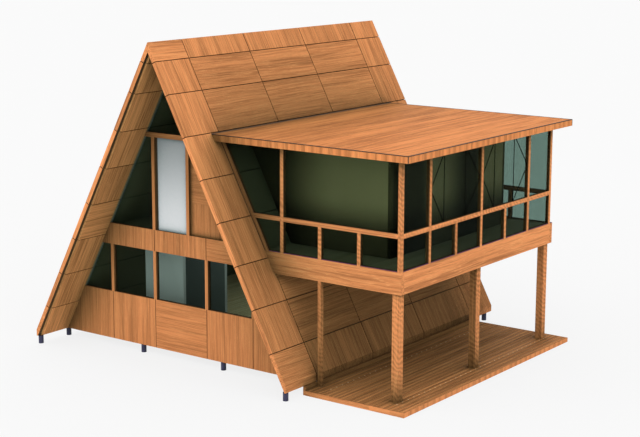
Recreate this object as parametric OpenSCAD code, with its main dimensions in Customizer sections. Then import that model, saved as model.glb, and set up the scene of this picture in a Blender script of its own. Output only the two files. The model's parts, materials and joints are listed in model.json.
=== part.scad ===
// A-frame cabin of timber panels with a glazed gallery and a covered terrace on one side.
// X = 0 lies under the ridge while a piece is drawn; site() then centres the whole on the origin.

/* [Roof] */
// Slope of both roof sides, in degrees
roof_pitch = 61.9; // [60:0.1:64]
// Width of one roof bay along the ridge
bay = 2500; // [2200:10:2800]
// Width of the roof strip in front of the first bay
front_strip = 1290; // [1150:10:1500]
// Width of the roof strip behind the last bay
back_strip = 1200; // [1150:10:1500]
// Length of the top course, from the ridge down the slope
ridge_course = 540; // [400:10:700]
// Length of the second course down the slope
second_course = 910; // [700:10:1100]
// Length of each regular course down the slope
course = 1166; // [1000:1:1300]
// Thickness of the outer roof panels
panel_t = 115; // [80:5:140]
// Thickness of the lining under the panels
lining_t = 60; // [40:5:80]
// Distance that the lining stops short of the front and back roof edges
lining_inset = 95; // [50:5:150]
// Gap between neighbouring roof panels
panel_joint = 20; // [10:1:30]
// Depth of the grooves that mark the courses on the lining
groove_d = 15; // [8:1:25]
// Height of the roof's seat above the ground
base_h = 220; // [180:5:400]
// Height of the plumb nose at the eaves
nose_h = 175; // [110:5:220]

/* [Ground piles] */
// Diameter of the steel piles
pile_d = 140; // [100:5:180]
// Distance from the roof's front edge to the first pile's centre
pile_front = 95; // [80:5:300]
// Distance from the roof's back edge to the last pile's centre
pile_back = 300; // [80:5:500]
// Distance from the ridge plane to the piles under the gable walls
gable_pile_x = 1420; // [800:10:2200]

/* [Floors and core] */
// Thickness of the ground floor
ground_floor_t = 200; // [120:10:250]
// Height of the gables' panel band above the upper floor's surface
band_lip = 85; // [40:5:150]
// Thickness of the upper floor
upper_floor_t = 250; // [180:10:300]
// Width of the small walled core on the ground floor
core_w = 1385; // [1200:5:1600]
// Length of the core along the ridge
core_len = 1850; // [1500:10:2200]
// Distance from the ridge plane to the core's near side
core_offset = 585; // [400:5:800]
// Distance from the front gable's outer face to the core
core_from_gable = 780; // [400:10:1200]
// Thickness of the core's walls
core_wall_t = 100; // [60:5:140]

/* [Gable walls] */
// Distance from the roof's edge to the gable wall's outer face
gable_setback = 1110; // [900:10:1300]
// Thickness of the gable walls
gable_t = 120; // [100:5:180]
// Height of the lower panels
sill_h = 1345; // [1100:5:1500]
// Height of the ground-floor windows
window_h = 1335; // [1250:5:1420]
// Height of the panel band at the upper floor
band_h = 585; // [520:5:650]
// Height of the upper windows
upper_h = 2505; // [2300:5:2700]
// Depth of the tie beam over the upper windows
tie_h = 125; // [90:5:160]
// Height of the apex window over the tie beam
apex_h = 2125; // [1800:5:2500]
// Width of the centre panel
centre_panel = 1820; // [1600:10:2000]
// Width of the panels beside the centre panel
side_panel = 1565; // [1400:5:1700]
// Width of the posts
gable_post = 100; // [70:5:130]
// Distance from the ridge plane to the second upper post's centre
upper_post_x = 290; // [200:5:500]
// Height of the lower of the two close-fitted upper wood panels
panel_split = 866; // [600:2:1200]
// Gap between neighbouring wall panels
wall_joint = 12; // [8:1:20]
// Thickness of the glass, in the gables and the gallery
glass_t = 24; // [12:2:40]
// Distance from a post's outer face to the glass behind it
glass_inset = 70; // [30:5:72]

/* [Gallery] */
// Distance from the ridge plane to the gallery's outer face
gallery_reach = 6930; // [6500:10:7400]
// Distance from the roof's front edge to the gallery's front face
gallery_front = 1220; // [1160:10:1400]
// Length that the gallery adds to its whole bays
gallery_extra = 90; // [0:10:200]
// Depth of the rim beams
rim_h = 560; // [400:10:700]
// Thickness of the rim beams
rim_t = 150; // [110:10:200]
// Thickness of the gallery's floor
gallery_floor_t = 200; // [120:10:300]
// Clear height of the gallery
gallery_clear = 2700; // [2500:10:2800]
// Width of the gallery's posts
gallery_post = 100; // [100:5:130]
// Distance from the foot of the sloped trim to the end post beside it
end_post_gap = 370; // [200:10:600]
// Distance from the rim's back face to the back glazing's outer face
back_glazing_inset = 130; // [0:10:250]
// Height of the rail's top above the floor
rail_h = 930; // [800:10:1100]
// Depth of the rail
rail_d = 115; // [80:5:150]
// Width of the sloped trim boards, square to the roof
trim_w = 110; // [80:5:140]

/* [Gallery room] */
// Distance from the gallery's front face to the room's front wall
walk_front = 1097; // [900:1:1300]
// Distance from the gallery's back face to the room's back wall
walk_back = 923; // [800:1:1200]
// Distance from the gallery's outer face to the room's side wall
walk_side = 1040; // [900:10:1400]
// Thickness of the room's walls
room_wall_t = 100; // [60:5:140]

/* [Canopy] */
// Thickness of the flat roof over the gallery
canopy_t = 175; // [120:5:220]
// Distance that the flat roof reaches past the gallery's front
canopy_front = 235; // [50:5:400]
// Distance that the flat roof reaches past the gallery's outer side
canopy_side = 320; // [100:10:430]
// Distance that the flat roof reaches past the gallery's back
canopy_back = 375; // [50:5:600]

/* [Terrace] */
// Thickness of the terrace deck
deck_t = 120; // [60:5:160]
// Distance that the deck reaches past the gallery's front
deck_front = 510; // [200:10:800]
// Distance that the deck reaches past the gallery's outer side
deck_side = 470; // [440:5:900]
// Distance that the deck reaches past the gallery's back
deck_back = 260; // [50:10:600]
// Gap between the deck and the roof's eaves
deck_gap = 5; // [3:1:20]
// Width of the kerb along the deck's inner edge
kerb_w = 70; // [50:5:120]
// Height of the kerb
kerb_h = 105; // [60:5:150]
// Width of the square posts under the gallery's outer side
deck_post = 200; // [150:5:260]
// Distance from the rim's outer face to the square posts
deck_post_side = 65; // [0:5:120]
// Distance from the rim's front face to the first square post
deck_post_front = 40; // [0:5:120]
// Distance from the rim's back face to the last square post
deck_post_back = 110; // [0:5:200]
// Width of the slim post beside the eaves
slim_post = 100; // [70:5:130]

/* [Hidden] */
$fn = 48;

bay_count = 3;
// The roof opening into the gallery room takes this bay, counted from the front strip
open_strip = 2;
// Gap between boards that are fitted close to each other
close_gap = 2;

// Heights, from the ground to the ridge
roof_t = panel_t + lining_t;
window_z0 = base_h + sill_h;
window_z1 = window_z0 + window_h;
upper_z0 = window_z1 + band_h;
upper_z1 = upper_z0 + upper_h;
apex_z0 = upper_z1 + tie_h;
inner_apex_z = apex_z0 + apex_h;
ridge_h = inner_apex_z + roof_t / cos(roof_pitch);
ground_z = base_h + ground_floor_t;
upper_floor_z = upper_z0 - band_lip;
upper_soffit_z = upper_floor_z - upper_floor_t;

// Roof
eave_z = base_h + nose_h;
eave_x = (ridge_h - eave_z) / tan(roof_pitch);
slope_len = (ridge_h - eave_z) / sin(roof_pitch);
first_courses = ridge_course + second_course;
shortest_course = course / 4;
regular_courses = floor((slope_len - first_courses - shortest_course) / course);
course_ends = concat([ridge_course], [for (k = [0 : regular_courses]) first_courses + k * course]);
course_starts = concat([0], course_ends);
course_count = len(course_starts);
roof_len = front_strip + bay_count * bay + back_strip;
roof_y0 = -roof_len / 2;
roof_y1 = roof_len / 2;
strip_ys = concat([roof_y0], [for (k = [0 : bay_count]) roof_y0 + front_strip + k * bay], [roof_y1]);
open_y0 = strip_ys[open_strip];
open_y1 = strip_ys[open_strip + 1];

// Gable walls
gable_y = roof_y1 - gable_setback;
gable_in = gable_y - gable_t;
centre_x = centre_panel / 2;
side_x = centre_x + side_panel;
gable_joints = [-side_x, -centre_x, centre_x, side_x];

// Core
core_y0 = -gable_y + core_from_gable;
core_y1 = core_y0 + core_len;
core_x1 = -core_offset;
core_x0 = core_x1 - core_w;

// Gallery
gallery_z0 = upper_floor_z;
gallery_z1 = gallery_z0 + gallery_clear;
rim_z0 = gallery_z0 - rim_h;
gallery_y0 = roof_y0 + gallery_front;
gallery_y1 = gallery_y0 + bay_count * bay + gallery_extra;
glazing_y1 = gallery_y1 - back_glazing_inset;
side_steps = 2 * bay_count;
side_step = (glazing_y1 - gallery_y0 - gallery_post) / side_steps;
side_ys = [for (k = [0 : side_steps]) gallery_y0 + gallery_post / 2 + k * side_step];
full_side_posts = concat([0], [for (k = [1 : 2 : side_steps - 1]) k], [side_steps]);
short_side_posts = [for (k = [2 : 2 : side_steps - 2]) k];
corner_x = gallery_reach - gallery_post / 2;
end_steps = 3;
end_post_x = roof_x(gallery_z0, -trim_w) + end_post_gap + gallery_post / 2;
end_step = (corner_x - end_post_x) / end_steps;
end_xs = [for (k = [0 : end_steps]) corner_x - k * end_step];
rail_z1 = gallery_z0 + rail_h;
rail_z0 = rail_z1 - rail_d;
end_ys = [side_ys[0], side_ys[side_steps]];
post_half = gallery_post / 2;

// Gallery room, and the way into it through the roof
room_y0 = gallery_y0 + walk_front;
room_y1 = gallery_y1 - walk_back;
room_x1 = gallery_reach - walk_side;
head_s = (ridge_h - gallery_z1) / sin(roof_pitch);
sill_s = (ridge_h - gallery_z0 - roof_t * cos(roof_pitch)) / sin(roof_pitch);

// Terrace
deck_x0 = eave_x + deck_gap;
deck_x1 = gallery_reach + deck_side;
deck_y0 = gallery_y0 - deck_front;
deck_y1 = gallery_y1 + deck_back;
slim_x = deck_x0 + kerb_w + slim_post / 2;
deck_post_x = gallery_reach - deck_post_side;
first_post_y = gallery_y0 + deck_post_front;
last_post_y = gallery_y1 - deck_post_back - deck_post;
pile_x = eave_x - pile_d / 2;
ridge_x = -(deck_x1 - eave_x) / 2;

wood_c = "peru";
frame_c = "chocolate";
glass_c = [0.2, 0.3, 0.25, 0.5];
plaster_c = "gainsboro";

// A point on the right slope: s down the slope from the ridge, d square into the roof
function slope_point(s, d) = [s * cos(roof_pitch) - d * sin(roof_pitch),
    ridge_h - s * sin(roof_pitch) - d * cos(roof_pitch)];
// Distance from the ridge plane to the line at depth d in the roof, at height z
function roof_x(z, d) = (ridge_h - d / cos(roof_pitch) - z) / tan(roof_pitch);
// Height of the line at depth d where it reaches the ridge plane
function ridge_z(d) = ridge_h - d / cos(roof_pitch);
// Stretches of a course from s0 to s1 that the way into the gallery room leaves standing
function clear_spans(s0, s1) = [for (span = [[s0, min(s1, head_s)], [max(s0, sill_s), s1]])
    if (span[1] - span[0] > panel_joint) span];

// Moves the finished pieces so that the origin is under the middle of the whole
module site() translate([ridge_x, 0, 0]) children();

// A box between two opposite corners
module block(low, high) translate(low) cube(high - low);

// An outline in X and Z, drawn out along Y
module prism(outline, y0, y1)
    translate([0, y1, 0]) rotate([90, 0, 0]) linear_extrude(y1 - y0) polygon(outline);

// A piece whose left end lies on the right slope, d outside its surface, between two heights
module slope_end_piece(z0, z1, x1, y0, y1, d = 0)
    prism([[roof_x(z0, -d), z0], [x1, z0], [x1, z1], [roof_x(z1, -d), z1]], y0, y1);

// A post or pane that stands on the gallery's outer side, centred on its depth
module side_slab(y0, y1, z0, z1, t)
    block([corner_x - t / 2, y0, z0], [corner_x + t / 2, y1, z1]);

// A post or pane that stands on one end of the gallery, centred on its depth
module end_slab(x0, x1, z0, z1, y, t) block([x0, y - t / 2, z0], [x1, y + t / 2, z1]);

// One roof panel of the right slope
module roof_panel(s0, s1, y0, y1) {
    top = s0 <= 0 ? [[0, ridge_z(panel_t)], [0, ridge_z(0)]] : [slope_point(s0, panel_t), slope_point(s0, 0)];
    bottom = s1 >= slope_len
        ? [[eave_x, eave_z], [eave_x, base_h], [roof_x(base_h, panel_t), base_h]]
        : [slope_point(s1, 0), slope_point(s1, panel_t)];
    prism(concat(top, bottom), y0, y1);
}

// The panels of one course in one strip, with half a joint left at each inner side
module course_panels(course_no, strip, opened) {
    half = panel_joint / 2;
    last = course_no == course_count - 1;
    s0 = course_starts[course_no] + (course_no == 0 ? 0 : half);
    s1 = last ? slope_len : course_starts[course_no + 1] - half;
    y0 = strip_ys[strip] + (strip == 0 ? 0 : half);
    y1 = strip_ys[strip + 1] - (strip == bay_count + 1 ? 0 : half);
    spans = opened && strip == open_strip ? clear_spans(s0, s1) : [[s0, s1]];
    for (span = spans) roof_panel(span[0], span[1], y0, y1);
}

// All the panels of the right slope
module slope_panels(opened)
    for (course_no = [0 : course_count - 1])
        for (strip = [0 : bay_count + 1]) course_panels(course_no, strip, opened);

// A stretch of the right slope's lining, with a groove under each joint of the panels
module lining_board(s0, s1, y0, y1) {
    top = s0 <= 0
        ? [[0, ridge_z(roof_t)], [0, ridge_z(panel_t)]]
        : [slope_point(s0, roof_t), slope_point(s0, panel_t)];
    bottom = s1 >= slope_len
        ? [[roof_x(base_h, panel_t), base_h], [roof_x(base_h, roof_t), base_h]]
        : [slope_point(s1, panel_t), slope_point(s1, roof_t)];
    half = panel_joint / 2;
    grooves = [for (k = [course_count - 1 : -1 : 1]) let (s = course_starts[k])
        if (s - panel_joint > s0 && s + panel_joint < s1)
            each [slope_point(s + half, roof_t), slope_point(s + half, roof_t - groove_d),
                slope_point(s - half, roof_t - groove_d), slope_point(s - half, roof_t)]];
    prism(concat(top, bottom, grooves), y0, y1);
}

// The gable's outline inside the roof, cut to a rectangle and given a thickness behind the outer face
module gable_piece(x0, x1, z0, z1, behind = 0, t = gable_t) {
    foot_x = roof_x(base_h, roof_t);
    translate([0, -gable_y + behind + t, 0]) rotate([90, 0, 0]) linear_extrude(t) intersection() {
        polygon([[-foot_x, base_h], [foot_x, base_h], [0, inner_apex_z]]);
        translate([x0, z0]) square([x1 - x0, z1 - z0]);
    }
}

// A row of panels between the given joints, from roof side to roof side
module gable_row(joints, z0, z1) {
    half = wall_joint / 2;
    edges = concat([-eave_x], joints, [eave_x]);
    for (k = [0 : len(edges) - 2]) gable_piece(edges[k] + half, edges[k + 1] - half, z0, z1);
}

// Panes between the posts at the given places, from roof side to roof side
module gable_panes(posts, z0, z1) {
    half = gable_post / 2;
    edges = concat([-eave_x], posts, [eave_x]);
    for (k = [0 : len(edges) - 2])
        gable_piece(edges[k] + half, edges[k + 1] - half, z0, z1, glass_inset, glass_t);
}

module lower_panels() gable_row(gable_joints, base_h, window_z0);

module window_posts()
    for (x = gable_joints) gable_piece(x - gable_post / 2, x + gable_post / 2, window_z0, window_z1);

module window_glass() gable_panes(gable_joints, window_z0, window_z1);

module floor_band() gable_row([-centre_x, centre_x], window_z1, upper_z0);

module upper_posts()
    for (x = [-centre_x, upper_post_x])
        gable_piece(x - gable_post / 2, x + gable_post / 2, upper_z0, upper_z1);

module upper_panels() {
    x0 = upper_post_x + gable_post / 2;
    split_z = upper_z0 + panel_split;
    half = close_gap / 2;
    for (z = [[upper_z0, split_z - half], [split_z + half, upper_z1]])
        gable_piece(x0, eave_x, z[0], z[1], glass_inset, gable_t - glass_inset);
}

module white_panel()
    gable_piece(-centre_x + gable_post / 2, upper_post_x - gable_post / 2, upper_z0, upper_z1,
        glass_inset, gable_t - glass_inset);

module tie_beam() gable_piece(-eave_x, eave_x, upper_z1, apex_z0);

module upper_glass() {
    gable_piece(-eave_x, -centre_x - gable_post / 2, upper_z0, upper_z1, glass_inset, glass_t);
    gable_piece(-eave_x, eave_x, apex_z0, ridge_h, glass_inset, glass_t);
}

// Turns a front gable piece into the back gable's
module at_back() mirror([0, 1, 0]) children();

module ground_piles() color("darkslateblue") {
    side_pile_ys = concat([roof_y0 + pile_front, -gable_y + gable_t / 2],
        [for (k = [2 : bay_count]) strip_ys[k]], [gable_y - gable_t / 2, roof_y1 - pile_back]);
    for (side = [-1, 1]) {
        for (y = side_pile_ys) translate([side * pile_x, y, 0]) cylinder(d = pile_d, h = base_h);
        for (end = [-1, 1])
            translate([side * gable_pile_x, end * (gable_y - gable_t / 2), 0])
                cylinder(d = pile_d, h = base_h);
    }
}

// A floor between the linings of both slopes and the two gable walls
module floor_slab(z0, z1)
    prism([[-roof_x(z0, roof_t), z0], [roof_x(z0, roof_t), z0], [roof_x(z1, roof_t), z1],
        [-roof_x(z1, roof_t), z1]], -gable_in, gable_in);

module ground_floor() color(wood_c) floor_slab(base_h, ground_z);

module upper_floor() color(wood_c) floor_slab(upper_soffit_z, upper_floor_z);

module core_cross_walls() color(plaster_c)
    for (y = [core_y0, core_y1 - core_wall_t])
        block([core_x0, y, ground_z], [core_x1, y + core_wall_t, upper_soffit_z]);

module core_side_walls() color(plaster_c)
    for (x = [core_x0, core_x1 - core_wall_t])
        block([x, core_y0 + core_wall_t, ground_z], [x + core_wall_t, core_y1 - core_wall_t, upper_soffit_z]);

module left_roof_panels() color(wood_c) mirror([1, 0, 0]) slope_panels(false);

module right_roof_panels() color(wood_c) slope_panels(true);

module left_roof_lining() color(frame_c)
    mirror([1, 0, 0]) lining_board(0, slope_len, roof_y0 + lining_inset, roof_y1 - lining_inset);

module right_roof_lining() color(frame_c) {
    lining_board(0, slope_len, roof_y0 + lining_inset, open_y0 - close_gap);
    lining_board(0, slope_len, open_y1 + close_gap, roof_y1 - lining_inset);
    lining_board(0, head_s, open_y0, open_y1);
    lining_board(sill_s, slope_len, open_y0, open_y1);
}

module front_lower_panels() color(wood_c) lower_panels();
module front_window_posts() color(frame_c) window_posts();
module front_window_glass() color(glass_c) window_glass();
module front_floor_band() color(wood_c) floor_band();
module front_upper_posts() color(frame_c) upper_posts();
module front_upper_panels() color(wood_c) upper_panels();
module front_white_panel() color("white") white_panel();
module front_tie_beam() color(frame_c) tie_beam();
module front_upper_glass() color(glass_c) upper_glass();

module back_lower_panels() color(wood_c) at_back() lower_panels();
module back_window_posts() color(frame_c) at_back() window_posts();
module back_window_glass() color(glass_c) at_back() window_glass();
module back_floor_band() color(wood_c) at_back() floor_band();
module back_upper_posts() color(frame_c) at_back() upper_posts();
module back_upper_panels() color(wood_c) at_back() upper_panels();
module back_white_panel() color("white") at_back() white_panel();
module back_tie_beam() color(frame_c) at_back() tie_beam();
module back_upper_glass() color(glass_c) at_back() upper_glass();

module gallery_rim_ends() color(wood_c)
    for (y = [gallery_y0, gallery_y1 - rim_t])
        slope_end_piece(rim_z0, gallery_z0, gallery_reach, y, y + rim_t);

module gallery_rim_side() color(wood_c)
    block([gallery_reach - rim_t, gallery_y0 + rim_t, rim_z0],
        [gallery_reach, gallery_y1 - rim_t, gallery_z0]);

module gallery_floor() color(wood_c)
    slope_end_piece(gallery_z0 - gallery_floor_t, gallery_z0, gallery_reach - rim_t,
        gallery_y0 + rim_t, gallery_y1 - rim_t);

module gallery_side_posts() color(frame_c)
    for (k = full_side_posts)
        side_slab(side_ys[k] - post_half, side_ys[k] + post_half, gallery_z0, gallery_z1, gallery_post);

module gallery_end_posts() color(frame_c)
    for (y = end_ys)
        end_slab(end_xs[end_steps] - post_half, end_xs[end_steps] + post_half, gallery_z0, gallery_z1,
            y, gallery_post);

module gallery_short_posts() color(frame_c) {
    for (k = short_side_posts)
        side_slab(side_ys[k] - post_half, side_ys[k] + post_half, gallery_z0, rail_z0, gallery_post);
    for (y = end_ys)
        for (k = [1 : end_steps - 1])
            end_slab(end_xs[k] - post_half, end_xs[k] + post_half, gallery_z0, rail_z0, y, gallery_post);
}

module gallery_rails() color(frame_c) {
    for (k = [0 : len(full_side_posts) - 2])
        side_slab(side_ys[full_side_posts[k]] + post_half, side_ys[full_side_posts[k + 1]] - post_half,
            rail_z0, rail_z1, gallery_post);
    for (y = end_ys) {
        end_slab(end_xs[end_steps] + post_half, end_xs[0] - post_half, rail_z0, rail_z1, y, gallery_post);
        slope_end_piece(rail_z0, rail_z1, end_xs[end_steps] - post_half,
            y - post_half, y + post_half, trim_w);
    }
}

module gallery_trims() color(frame_c)
    for (y = end_ys)
        prism([[roof_x(gallery_z0, 0), gallery_z0], [roof_x(gallery_z0, -trim_w), gallery_z0],
            [roof_x(gallery_z1, -trim_w), gallery_z1], [roof_x(gallery_z1, 0), gallery_z1]],
            y - post_half, y + post_half);

// The panes of one end of the gallery, over and under the rail
module end_panes(y) {
    for (z = [[rail_z1, gallery_z1], [gallery_z0, rail_z0]])
        slope_end_piece(z[0], z[1], end_xs[end_steps] - post_half, y - glass_t / 2, y + glass_t / 2, trim_w);
    end_slab(end_xs[end_steps] + post_half, end_xs[0] - post_half, rail_z1, gallery_z1, y, glass_t);
    for (k = [0 : end_steps - 1])
        end_slab(end_xs[k + 1] + post_half, end_xs[k] - post_half, gallery_z0, rail_z0, y, glass_t);
}

module gallery_front_glass() color(glass_c) end_panes(end_ys[0]);

module gallery_back_glass() color(glass_c) end_panes(end_ys[1]);

module gallery_side_glass() color(glass_c) {
    for (k = [0 : len(full_side_posts) - 2])
        side_slab(side_ys[full_side_posts[k]] + post_half, side_ys[full_side_posts[k + 1]] - post_half,
            rail_z1, gallery_z1, glass_t);
    for (k = [0 : side_steps - 1])
        side_slab(side_ys[k] + post_half, side_ys[k + 1] - post_half, gallery_z0, rail_z0, glass_t);
}

module room_end_walls() color(plaster_c)
    for (y = [room_y0, room_y1 - room_wall_t])
        slope_end_piece(gallery_z0, gallery_z1, room_x1, y, y + room_wall_t);

module room_side_wall() color(plaster_c)
    block([room_x1 - room_wall_t, room_y0 + room_wall_t, gallery_z0],
        [room_x1, room_y1 - room_wall_t, gallery_z1]);

module canopy_roof() color(wood_c)
    slope_end_piece(gallery_z1, gallery_z1 + canopy_t, gallery_reach + canopy_side,
        gallery_y0 - canopy_front, gallery_y1 + canopy_back);

module terrace_posts() color(frame_c)
    for (y = [first_post_y, (first_post_y + last_post_y) / 2, last_post_y])
        block([deck_post_x - deck_post, y, deck_t], [deck_post_x, y + deck_post, rim_z0]);

module terrace_slim_post() color(frame_c)
    block([slim_x - slim_post / 2, gallery_y0, deck_t],
        [slim_x + slim_post / 2, gallery_y0 + slim_post, rim_z0]);

module terrace_deck() color(wood_c) block([deck_x0, deck_y0, 0], [deck_x1, deck_y1, deck_t]);

module terrace_kerb() color(wood_c)
    block([deck_x0, deck_y0, deck_t], [deck_x0 + kerb_w, deck_y1, deck_t + kerb_h]);

site() ground_piles();
site() ground_floor();
site() upper_floor();
site() core_cross_walls();
site() core_side_walls();
site() left_roof_panels();
site() left_roof_lining();
site() right_roof_panels();
site() right_roof_lining();
site() front_lower_panels();
site() front_window_posts();
site() front_window_glass();
site() front_floor_band();
site() front_upper_posts();
site() front_upper_panels();
site() front_white_panel();
site() front_tie_beam();
site() front_upper_glass();
site() back_lower_panels();
site() back_window_posts();
site() back_window_glass();
site() back_floor_band();
site() back_upper_posts();
site() back_upper_panels();
site() back_white_panel();
site() back_tie_beam();
site() back_upper_glass();
site() gallery_rim_ends();
site() gallery_rim_side();
site() gallery_floor();
site() gallery_side_posts();
site() gallery_end_posts();
site() gallery_short_posts();
site() gallery_rails();
site() gallery_trims();
site() gallery_front_glass();
site() gallery_side_glass();
site() gallery_back_glass();
site() room_end_walls();
site() room_side_wall();
site() canopy_roof();
site() terrace_posts();
site() terrace_slim_post();
site() terrace_deck();
site() terrace_kerb();
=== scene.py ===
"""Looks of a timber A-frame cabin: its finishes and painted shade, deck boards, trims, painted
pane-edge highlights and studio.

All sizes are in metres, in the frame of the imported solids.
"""

from __future__ import annotations

import json
import logging
import math
from dataclasses import dataclass
from enum import Enum
from typing import Any, Optional, Sequence, Union

import bmesh
import bpy
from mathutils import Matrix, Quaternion, Vector

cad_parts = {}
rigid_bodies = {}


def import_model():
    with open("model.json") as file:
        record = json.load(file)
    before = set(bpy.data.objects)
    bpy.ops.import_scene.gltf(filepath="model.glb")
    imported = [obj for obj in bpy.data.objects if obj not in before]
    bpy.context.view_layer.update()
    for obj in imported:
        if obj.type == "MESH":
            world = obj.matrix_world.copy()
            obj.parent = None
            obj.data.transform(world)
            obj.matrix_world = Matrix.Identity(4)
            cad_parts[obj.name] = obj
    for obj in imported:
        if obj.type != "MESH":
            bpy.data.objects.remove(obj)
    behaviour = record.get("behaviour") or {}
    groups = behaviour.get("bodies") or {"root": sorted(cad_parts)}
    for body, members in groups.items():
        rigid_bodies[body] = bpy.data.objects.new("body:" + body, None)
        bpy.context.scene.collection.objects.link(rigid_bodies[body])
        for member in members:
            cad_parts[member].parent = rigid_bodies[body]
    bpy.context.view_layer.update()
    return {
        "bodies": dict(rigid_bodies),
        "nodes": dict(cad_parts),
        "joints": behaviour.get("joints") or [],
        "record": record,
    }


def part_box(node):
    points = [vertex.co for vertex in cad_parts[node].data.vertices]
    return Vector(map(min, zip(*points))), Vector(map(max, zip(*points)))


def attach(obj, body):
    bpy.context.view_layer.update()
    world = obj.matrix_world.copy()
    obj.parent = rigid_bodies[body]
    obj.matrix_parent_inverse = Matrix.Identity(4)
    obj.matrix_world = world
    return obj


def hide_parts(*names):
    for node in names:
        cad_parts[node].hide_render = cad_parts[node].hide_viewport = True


LOG = logging.getLogger("cabin")
BODY = "root"

Colour = tuple[float, float, float]
Point2 = tuple[float, float]
Point3 = tuple[float, float, float]
Num = Union["Val", float]

WHITE = (1.0, 1.0, 1.0)
ENDS = ("front", "back")
# Heights above and below the whole building.
SKY_HIGH, UNDER_GROUND = 100.0, -1.0
# Dark lines at joints: distances at which a line has faded out and is full, and its strength.
PANEL_JOINT = (0.016, 0.0048)
BOARD_JOINT = (0.006, 0.002)
JOINT_DARK = 0.7
# Least share of a normal along an axis on a surface that faces that way.
FACING = 0.5
# Share of the light that most surfaces pass on to others.
BOUNCE = 0.3
# Corner shade: reach and strength of its layers, rays for each, and the tint of deep corners.
CORNER_REACHES = ((4.5, 2.6), (0.9, 2.0), (0.25, 2.8))
CORNER_SAMPLES = 5
CORNER_TINT = (1.0, 1.42, 1.38)
# Rays that show the pale background.
SEEN_RAYS = ("Is Camera Ray", "Is Glossy Ray", "Is Transmission Ray")


def screen_colour(red: int, green: int, blue: int) -> Colour:
    """Turns an 8-bit screen colour into a linear one.

    Args:
        red: Red level from 0 to 255.
        green: Green level from 0 to 255.
        blue: Blue level from 0 to 255.

    Returns:
        The linear colour.
    """
    levels = [level / 255 for level in (red, green, blue)]
    red_lin, green_lin, blue_lin = [
        level / 12.92 if level <= 0.04045 else ((level + 0.055) / 1.055) ** 2.4 for level in levels
    ]
    return red_lin, green_lin, blue_lin


class Axis(Enum):
    """An axis of the frame."""

    X = 0
    Y = 1
    Z = 2


class Val:
    """A value socket whose arithmetic adds Math nodes to its tree."""

    def __init__(self, sheet: Sheet, socket: bpy.types.NodeSocket) -> None:
        """Wraps a socket of the given sheet."""
        self.sheet = sheet
        self.socket = socket

    def __add__(self, other: Num) -> Val:
        """Sum."""
        return self.sheet.math("ADD", self, other)

    __radd__ = __add__

    def __sub__(self, other: Num) -> Val:
        """Difference."""
        return self.sheet.math("SUBTRACT", self, other)

    def __rsub__(self, other: Num) -> Val:
        """Difference from a number."""
        return self.sheet.math("SUBTRACT", other, self)

    def __mul__(self, other: Num) -> Val:
        """Product."""
        return self.sheet.math("MULTIPLY", self, other)

    __rmul__ = __mul__

    def __truediv__(self, other: Num) -> Val:
        """Quotient."""
        return self.sheet.math("DIVIDE", self, other)

    def __rtruediv__(self, other: Num) -> Val:
        """Quotient of a number."""
        return self.sheet.math("DIVIDE", other, self)

    def __abs__(self) -> Val:
        """Size without sign."""
        return self.sheet.math("ABSOLUTE", self)

    def __gt__(self, limit: Num) -> Val:
        """1 where the value is above the limit, else 0."""
        return self.sheet.math("GREATER_THAN", self, limit)

    def __lt__(self, limit: Num) -> Val:
        """1 where the value is below the limit, else 0."""
        return self.sheet.math("LESS_THAN", self, limit)

    def floor(self) -> Val:
        """Whole part."""
        return self.sheet.math("FLOOR", self)

    def sine(self) -> Val:
        """Sine of the value in radians."""
        return self.sheet.math("SINE", self)

    def least(self, other: Num) -> Val:
        """The smaller of two values."""
        return self.sheet.math("MINIMUM", self, other)

    def between(self, low: float, high: float) -> Val:
        """1 where the value lies between two limits, else 0."""
        return (self > low) * (self < high)

    def toward(self, other: Val, share: Num) -> Val:
        """The value that lies the given share of the way to another."""
        return self + (other - self) * share

    def fade(self, start: float, end: float) -> Val:
        """Smooth step from 0 at start to 1 at end.

        Args:
            start: Value at which the step begins.
            end: Value at which it ends, above or below start.

        Returns:
            The step, held to the range from 0 to 1.
        """
        low, high = min(start, end), max(start, end)
        node = self.sheet.add(
            "ShaderNodeMapRange",
            {"interpolation_type": "SMOOTHSTEP"},
            {"Value": self, "From Min": low, "From Max": high},
        )
        step = self.sheet.out(node, "Result")
        return step if end > start else 1 - step


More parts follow.
